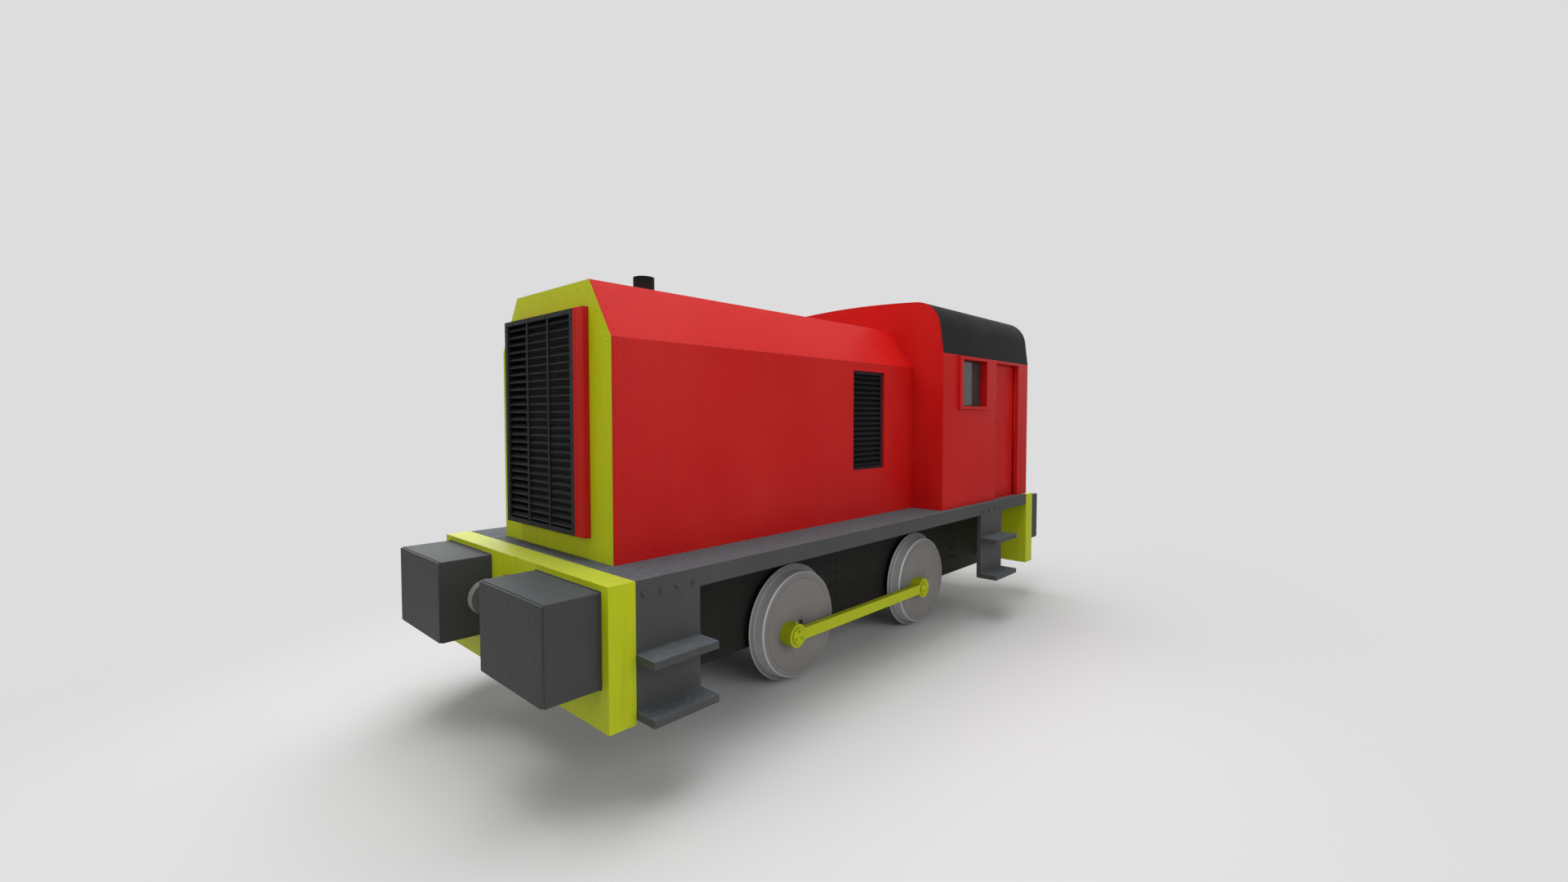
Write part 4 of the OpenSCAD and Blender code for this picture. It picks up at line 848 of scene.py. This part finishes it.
lever_bar, lever_reach, lever_long = {"Bar diameter": 0.018, "Bend radius": 0.016}, 0.045, 0.12
backplate_half, backplate_up, backplate_down, backplate_t, backplate_ease = 0.025, 0.05, 0.13, 0.005, 0.002
handle_in, handle_up = 0.057, 1.02
handle_x, handle_z = door_high.x - handle_in, deck_top + handle_up
for side, hand in ((1, "left"), (-1, "right")):
    for where, face, out, finish in (("outer", door_out, 1, red_screws), ("inner", door_in, -1, plated)):
        bm = bmesh.new()
        back, front = side * (face - backplate_ease * out), side * (face + backplate_t * out)
        rounded_plate(bm, (handle_x - backplate_half, back, handle_z - backplate_down),
                      (handle_x + backplate_half, front, handle_z + backplate_up), backplate_ease)
        finished(f"{where}_backplate_{hand}", bm, finish, f"door_{hand}")
        stand = side * (face + lever_reach * out)
        spots = [(handle_x, side * face, handle_z), (handle_x, stand, handle_z),
                 (handle_x - lever_long, stand, handle_z)]
        planted(f"{where}_lever_{hand}", bent_bar, spots, lever_bar, finish, f"door_{hand}",
                edges=[(0, 1), (1, 2)])


# Driving desk: a folded steel cabinet on the cab's front wall with a sloping top, in grey enamel.
# The top carries four round gauges with printed cards, two power levers with turned knobs
# and a brake handle.
desk_grey = enamel("grey_cab_enamel", "#4E524F", "#585C59", "#2E2E2C", rough=0.48, dust=0.03)
dress(desk_grey, "control_desk")


def turned(bm, profile, foot, axis, steps=24):
    # Lathe work: profile is (radius, distance along the axis) from the foot up.
    aim = Vector(axis).to_track_quat("Z", "Y").to_matrix()
    rim = [bm.verts.new(Vector(foot) + aim @ Vector((r, 0, h))) for r, h in profile]
    line = [bm.edges.new(pair) for pair in zip(rim, rim[1:])]
    bmesh.ops.spin(bm, geom=rim + line, cent=foot, axis=aim @ Vector((0, 0, 1)), angle=2 * math.pi,
                   steps=steps)


top_run, top_fall = 0.28, 0.22
desk_low, desk_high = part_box("control_desk")
desk_out = Vector((-top_fall, 0, top_run)).normalized()
desk_along = Vector((-top_run, 0, -top_fall)).normalized()
desk_middle = Vector((desk_low.x + top_run / 2, 0, desk_high.z - top_fall / 2))
tilt = Matrix.Rotation(-math.atan2(top_fall, top_run), 3, "Y")
# Dial card: matt cream, slightly yellowed in blotches.
card = mottled("cream_dial_card", 0.03, ("#D8D2BE", "#C6BC9E"), (0.5, 0.7), detail=2.0)
bezel = [(0.062, -0.002), (0.062, 0.014), (0.058, 0.018), (0.052, 0.018), (0.050, 0.008)]
dial = [(0.0, 0.008), (0.051, 0.008)]
tick = {"Lozenge length": 0.011, "Lozenge width": 0.0025, "Lozenge height": 0.001}
hand_wire = {"Bar diameter": 0.003, "Bend radius": 0.001}
tick_ring, tick_up, tick_count, first_tick, tick_turn = 0.042, 0.0085, 11, -135, 27
hand_tail, hand_tip, hand_up, hand_turn, hand_differ = 0.010, 0.036, 0.011, 2.2, 3
gauge_rows, gauge_up, gauge_steps = (-0.24, -0.08, 0.08, 0.24), 0.02, 32
bezels, cards = bmesh.new(), bmesh.new()
ticks, leans, hands, lines = [], [], [], []
for y in gauge_rows:
    foot = desk_middle + Vector((0, y, 0)) - desk_along * gauge_up
    turned(bezels, bezel, foot, desk_out, gauge_steps)
    turned(cards, dial, foot, desk_out, gauge_steps)
    for step in range(tick_count):
        angle = math.radians(first_tick + tick_turn * step)
        way = tilt @ Vector((math.cos(angle), math.sin(angle), 0))
        ticks.append(tuple(foot + way * tick_ring + desk_out * tick_up))
        leans.append(tuple((tilt @ Matrix.Rotation(angle, 3, "Z")).to_euler()))
    angle = hand_turn + hand_differ * y
    way = tilt @ Vector((math.cos(angle), math.sin(angle), 0))
    for reach in (-hand_tail, hand_tip):
        hands.append(tuple(foot + way * reach + desk_out * hand_up))
    lines.append((len(hands) - 2, len(hands) - 1))
finished("gauge_bezels", bezels, stove_black, "chassis")
finished("gauge_dials", cards, card, "chassis")
planted("gauge_ticks", raised_pattern, ticks, tick, stove_black, "chassis", leans)
planted("gauge_hands", bent_bar, hands, hand_wire, stove_black, "chassis", edges=lines)
lever_rod, lever_up, lever_sunk = {"Bar diameter": 0.016, "Bend radius": 0.02}, 0.20, 0.01
lever_rows, knob_r, knob_tip = ((-0.40, 0.05), (0.40, -0.04)), 0.024, 0.030
lever_boss = [(0.045, -0.002), (0.045, 0.010), (0.030, 0.022), (0.012, 0.026)]
brake_boss = [(0.038, -0.002), (0.038, 0.014), (0.022, 0.030), (0.012, 0.032)]
knob = [(0.0, knob_tip)]
for turn in range(20, 180, 20):
    knob.append((knob_r * math.sin(math.radians(turn)), knob_r * math.cos(math.radians(turn))))
knob.append((0.0, -knob_r))
spots, lines, knobs, bosses = [], [], bmesh.new(), bmesh.new()
for y, lean in lever_rows:
    foot = desk_middle + Vector((0, y, 0))
    tip = foot + desk_out * lever_up + desk_along * lean
    spots += [tuple(foot - desk_out * lever_sunk), tuple(tip)]
    lines.append((len(spots) - 2, len(spots) - 1))
    turned(bosses, lever_boss, foot, desk_out)
    turned(knobs, knob, tip, (tip - foot).normalized())
brake_y, brake_down, brake_up, brake_long = 0.33, 0.09, desk_out * 0.10, Vector((0, -0.16, 0))
foot = desk_middle + Vector((0, brake_y, 0)) + desk_along * brake_down
spots += [tuple(foot), tuple(foot + brake_up), tuple(foot + brake_up + brake_long)]
lines += [(len(spots) - 3, len(spots) - 2), (len(spots) - 2, len(spots) - 1)]
turned(bosses, brake_boss, foot, desk_out)
planted("control_levers", bent_bar, spots, lever_rod, plated, "chassis", edges=lines)
finished("lever_bosses", bosses, desk_grey, "chassis")
finished("lever_knobs", knobs, stove_black, "chassis")


# Crew bench: a steel locker on the rear wall in the cab's grey, with a varnished lid of planks
# laid across the cab. The wood's pores are drawn at six millimetres so that they show.
lid_t, lid_clear, plank_wide = 0.035, 0.01, 0.134
bench_low, bench_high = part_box("crew_bench")
plank_lid = within((bench_low.x - lid_clear, bench_low.y - lid_clear, bench_high.z - lid_t),
                   (bench_high.x + lid_clear, bench_high.y + lid_clear, bench_high.z + lid_clear))


def plank_grain(tree, spot):
    # Brown streaks about 250 mm long, with a dark joint about 4 mm wide from plank to plank.
    joint_share = 0.03
    drawn = add(tree, "ShaderNodeMapping", {
        "Vector": spot, "Scale": (1 / 0.006, 1 / 0.25, 1 / 0.006)})[0]
    pores = add(tree, "ShaderNodeTexNoise", {"Vector": drawn, "Scale": 1.0, "Detail": 3.0})[0]
    wood = add(tree, "ShaderNodeMix", {
        0: pores, 6: linear("#5E3A1E"), 7: linear("#8F6038")}, data_type="RGBA")[2]
    across = add(tree, "ShaderNodeSeparateXYZ", {0: spot})["X"]
    planks = add(tree, "ShaderNodeMath", {0: across, 1: plank_wide}, operation="DIVIDE")[0]
    share = add(tree, "ShaderNodeMath", {0: planks}, operation="FRACT")[0]
    joint = add(tree, "ShaderNodeMath", {0: share, 1: joint_share}, operation="LESS_THAN")[0]
    return add(tree, "ShaderNodeMix", {0: joint, 6: wood, 7: linear("#22160C")}, data_type="RGBA")[2]


bench = enamel("locker_enamel_and_varnish", "#4E524F", "#585C59", "#2E2E2C", rough=0.45, dust=0.03,
               wear=0.3, second=[(plank_lid, plank_grain)])
dress(bench, "crew_bench")


# Wheelsets: rolled steel discs with shrunk tyres, pressed on plain axles. Grey paint on the discs,
# flanges and axles; the running band is rubbed to dull steel by the rail, and a fine line
# shows where the tyre meets the disc.
def off_axis(tree, spot, hub):
    # The arm to a point from the line through hub across the vehicle, and its length.
    off = add(tree, "ShaderNodeVectorMath", {0: spot, 1: hub}, operation="SUBTRACT")[0]
    arm = add(tree, "ShaderNodeVectorMath", {0: off, 1: (1.0, 0.0, 1.0)}, operation="MULTIPLY")[0]
    return arm, add(tree, "ShaderNodeVectorMath", {0: arm}, operation="LENGTH")["Value"]


def wheel_finish(name, axle):
    material, tree = blank(name)
    spot = add(tree, "ShaderNodeTexCoord")["Object"]
    skin = add(tree, "ShaderNodeNewGeometry")["Normal"]
    eased = add(tree, "ShaderNodeBevel", {"Radius": 0.005}, samples=4)["Normal"]
    arm, radius = off_axis(tree, spot, (axle.x, 0.0, axle.z))
    way = add(tree, "ShaderNodeVectorMath", {0: arm}, operation="NORMALIZE")[0]
    outward = add(tree, "ShaderNodeVectorMath", {0: way, 1: skin}, operation="DOT_PRODUCT")["Value"]
    rolling = add(tree, "ShaderNodeMapRange", {0: outward, 1: 0.35, 2: 0.6, 3: 0.0, 4: 1.0})[0]
    on_tyre = add(tree, "ShaderNodeMath", {0: radius, 1: tyre_face}, operation="GREATER_THAN")[0]
    rubbed = add(tree, "ShaderNodeMath", {0: rolling, 1: on_tyre}, operation="MULTIPLY")[0]
    # Paint in clouds 150 mm across, and a dark line 3 mm wide at the tyre's seat.
    cloud = add(tree, "ShaderNodeTexNoise", {"Vector": spot, "Scale": 1 / 0.15, "Detail": 4.0})[0]
    paint = add(tree, "ShaderNodeMix", {
        0: cloud, 6: linear("#716E6C"), 7: linear("#7F7C7A")}, data_type="RGBA")[2]
    seat = add(tree, "ShaderNodeMath", {0: radius, 1: tyre_seat, 2: 0.0015}, operation="COMPARE")[0]
    paint = add(tree, "ShaderNodeMix", {0: seat, 6: paint, 7: linear("#34322F")}, data_type="RGBA")[2]
    # Oil thrown from the hub, fading over 120 mm.
    thrown = add(tree, "ShaderNodeMapRange", {0: radius, 1: 0.07, 2: 0.19, 3: 0.4, 4: 0.0})[0]
    drops = add(tree, "ShaderNodeTexNoise", {"Vector": spot, "Scale": 1 / 0.05, "Detail": 4.0})[0]
    oily = add(tree, "ShaderNodeMath", {0: thrown, 1: drops}, operation="MULTIPLY")[0]
    paint = add(tree, "ShaderNodeMix", {0: oily, 6: paint, 7: linear("#262320")}, data_type="RGBA")[2]
    # Fine scores round the running band, drawn 4 mm apart across it.
    across = add(tree, "ShaderNodeMapping", {"Vector": spot, "Scale": (2.0, 1 / 0.004, 2.0)})[0]
    scores = add(tree, "ShaderNodeTexNoise", {"Vector": across, "Scale": 1.0, "Detail": 2.0})[0]
    steel = add(tree, "ShaderNodeMix", {
        0: scores, 6: linear("#B2B2B5"), 7: linear("#C6C6C8")}, data_type="RGBA")[2]
    shade = add(tree, "ShaderNodeMix", {0: rubbed, 6: paint, 7: steel}, data_type="RGBA")[2]
    metal = add(tree, "ShaderNodeMath", {0: rubbed, 1: 0.12}, operation="MULTIPLY")[0]
    dull = add(tree, "ShaderNodeMapRange", {0: cloud, 1: 0.3, 2: 0.7, 3: 0.50, 4: 0.62})[0]
    keen = add(tree, "ShaderNodeMapRange", {0: scores, 1: 0.3, 2: 0.7, 3: 0.42, 4: 0.56})[0]
    gloss = add(tree, "ShaderNodeMix", {0: rubbed, 2: dull, 3: keen})[0]
    grain = add(tree, "ShaderNodeTexNoise", {"Vector": spot, "Scale": 1 / 0.012, "Detail": 3.0})[0]
    bump = add(tree, "ShaderNodeBump", {
        "Strength": 0.4, "Distance": 0.0005, "Height": grain, "Normal": eased})
    shader = add(tree, "ShaderNodeBsdfPrincipled", {
        "Base Color": shade, "Metallic": metal, "Roughness": gloss, "Normal": bump[0],
        "Specular IOR Level": 0.25})
    add(tree, "ShaderNodeOutputMaterial", {"Surface": shader[0]})
    return material


tyre_face, tyre_seat = 0.476, 0.428
dress(wheel_finish("grey_wheel_enamel_and_tyre_steel_front", front_axle), "front_wheels", "front_axle")
dress(wheel_finish("grey_wheel_enamel_and_tyre_steel_rear", rear_axle), "rear_wheels", "rear_axle")


# Crank pins and coupling rods: forged pins pressed in the wheels, and flat rods with bored round
# ends. Yellow enamel to show the motion, oil-darkened round the pins; each pin's cap has three
# bolts, and a hexagon plug closes the oil hole on top of each rod end.
def oiled(pin):
    # Old oil in patches 30 mm across, gone at 100 mm from the pin's middle.
    def mask(tree, spot, skin):
        radius = off_axis(tree, spot, pin)[1]
        near = add(tree, "ShaderNodeMapRange", {0: radius, 1: 0.07, 2: 0.100, 3: 0.6, 4: 0.0})[0]
        weep = add(tree, "ShaderNodeTexNoise", {"Vector": spot, "Scale": 1 / 0.03, "Detail": 4.0})[0]
        return add(tree, "ShaderNodeMath", {0: near, 1: weep}, operation="MULTIPLY")[0]
    return mask


pin_yellow = enamel("crank_yellow_enamel", **yellow, rough=0.46, dust=0.04, wear=0.3, rain=0.0)
dress(pin_yellow, "front_crankpins", "rear_crankpins")
cap_bolt = {"Across corners": 0.027, "Head height": 0.011, "Washer diameter": 0.030}
oil_plug = {"Across corners": 0.034, "Head height": 0.014, "Washer diameter": 0.040}
cap_face, cap_ring, old_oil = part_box("front_crankpins")[1].y, 0.042, "#1E1A12"
caps = {"front_wheelset": [], "rear_wheelset": []}
for hand, side in (("left", 1), ("right", -1)):
    rod_low, rod_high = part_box(f"coupling_rod_{hand}")
    rod_middle, rod_end = (rod_low.y + rod_high.y) / 2, (rod_high.z - rod_low.z) / 2
    pins = [Vector((x, rod_middle, rod_low.z + rod_end))
            for x in (rod_high.x - rod_end, rod_low.x + rod_end)]
    finish = enamel(f"rod_yellow_enamel_{hand}", **yellow, rough=0.46, dust=0.04, wear=0.4, rain=0.0,
                    second=[(oiled(pin), old_oil) for pin in pins])
    dress(finish, f"coupling_rod_{hand}")
    planted(f"rod_oil_plugs_{hand}", hex_bolts, [(pin.x, pin.y, rod_high.z) for pin in pins], oil_plug,
            yellow_screws, f"rod_{hand}", (0, 0, 1))
    for body, pin in zip(caps, pins):
        for turn in (90, 210, 330):
            arm = Vector((math.cos(math.radians(turn)), 0, math.sin(math.radians(turn)))) * cap_ring
            caps[body].append((pin.x + arm.x, side * cap_face, pin.z + arm.z))
for body, spots in caps.items():
    planted(f"{body}_cap_bolts", hex_bolts, spots, cap_bolt, yellow_screws, body,
            [(0, math.copysign(1, y), 0) for x, y, z in spots])


# Studio: a plain pale floor at rail level that runs out into a pale surround, large soft lights
# above and round about, and the camera where the photograph was taken from.
pale, floor_radius = linear("#DDDDDD"), 60.0
bm = bmesh.new()
bmesh.ops.create_circle(bm, cap_ends=True, segments=64, radius=floor_radius)
mesh = bpy.data.meshes.new("studio_floor")
bm.to_mesh(mesh)
bm.free()
floor = bpy.data.objects.new("studio_floor", mesh)
bpy.context.scene.collection.objects.link(floor)
# Matt grey paper under the vehicle, fading out to the surround's own pale tone from 2 m to 6 m off
# its sides, and further off its longer ends.
floor_paint, tree = blank("matt_studio_floor")
spot = add(tree, "ShaderNodeTexCoord")["Object"]
shrunk = add(tree, "ShaderNodeVectorMath", {0: spot, 1: (0.6, 1.0, 1.0)}, operation="MULTIPLY")[0]
away = add(tree, "ShaderNodeVectorMath", {0: shrunk}, operation="LENGTH")["Value"]
far = add(tree, "ShaderNodeMapRange", {
    0: away, 1: 2.2, 2: 6.0, 3: 0.0, 4: 1.0}, interpolation_type="SMOOTHSTEP")[0]
rays = add(tree, "ShaderNodeLightPath")
seen = add(tree, "ShaderNodeMath", {0: far, 1: rays["Is Camera Ray"]}, operation="MULTIPLY")[0]
near_floor = add(tree, "ShaderNodeBsdfDiffuse", {"Color": linear("#C1C1C1")})
far_floor = add(tree, "ShaderNodeEmission", {"Color": pale, "Strength": 1.0})
both = add(tree, "ShaderNodeMixShader", {0: seen, 1: near_floor[0], 2: far_floor[0]})
add(tree, "ShaderNodeOutputMaterial", {"Surface": both[0]})
mesh.materials.append(floor_paint)

world = bpy.data.worlds.new("studio_surround")
bpy.context.scene.world = world
world.use_nodes = True
tree = world.node_tree
tree.nodes.clear()
rays = add(tree, "ShaderNodeLightPath")
shown = rays["Is Camera Ray"]
for kind in ("Is Glossy Ray", "Is Transmission Ray"):
    shown = add(tree, "ShaderNodeMath", {
        0: shown, 1: rays[kind]}, operation="ADD", use_clamp=True)[0]
fill = add(tree, "ShaderNodeBackground", {"Color": (1.0, 1.0, 1.0, 1.0), "Strength": 0.34})
wall = add(tree, "ShaderNodeBackground", {"Color": pale, "Strength": 1.0})
both = add(tree, "ShaderNodeMixShader", {0: shown, 1: fill[0], 2: wall[0]})
add(tree, "ShaderNodeOutputWorld", {"Surface": both[0]})

light_aim = Vector((0.0, 0.0, 1.6))
for name, place, size, power in (
        ("top_softbox", (0.4, -0.8, 9.0), (12.0, 9.0), 1360.0),
        ("left_softbox", (1.5, 11.0, 5.0), (12.0, 6.0), 560.0),
        ("front_softbox", (12.0, 1.0, 4.5), (7.0, 5.0), 200.0),
        ("right_softbox", (-3.0, -11.0, 5.0), (12.0, 6.0), 490.0),
        ("rear_softbox", (-12.0, -1.0, 4.5), (7.0, 5.0), 340.0)):
    lamp = bpy.data.lights.new(name, "AREA")
    lamp.shape = "RECTANGLE"
    lamp.size, lamp.size_y = size
    lamp.energy = power
    box = bpy.data.objects.new(name, lamp)
    bpy.context.scene.collection.objects.link(box)
    box.location = place
    box.rotation_euler = (light_aim - Vector(place)).to_track_quat("-Z", "Y").to_euler()
    box.visible_camera = False
    box.visible_transmission = False
    box.visible_glossy = name != "top_softbox"

azimuth, elevation = math.radians(42.72), math.radians(2.20)
camera = bpy.data.objects.new("camera", bpy.data.cameras.new("camera"))
bpy.context.scene.collection.objects.link(camera)
camera.data.sensor_fit = "HORIZONTAL"
camera.data.sensor_width = 36.0
camera.data.lens = 14.6475
camera.location = (5.3925, 4.707, 2.4825)
level = math.cos(elevation)
back = Vector((level * math.cos(azimuth), level * math.sin(azimuth), math.sin(elevation)))
camera.rotation_euler = (-back).to_track_quat("-Z", "Y").to_euler()
bpy.context.scene.camera = camera
bpy.context.scene.view_settings.view_transform = "Standard"
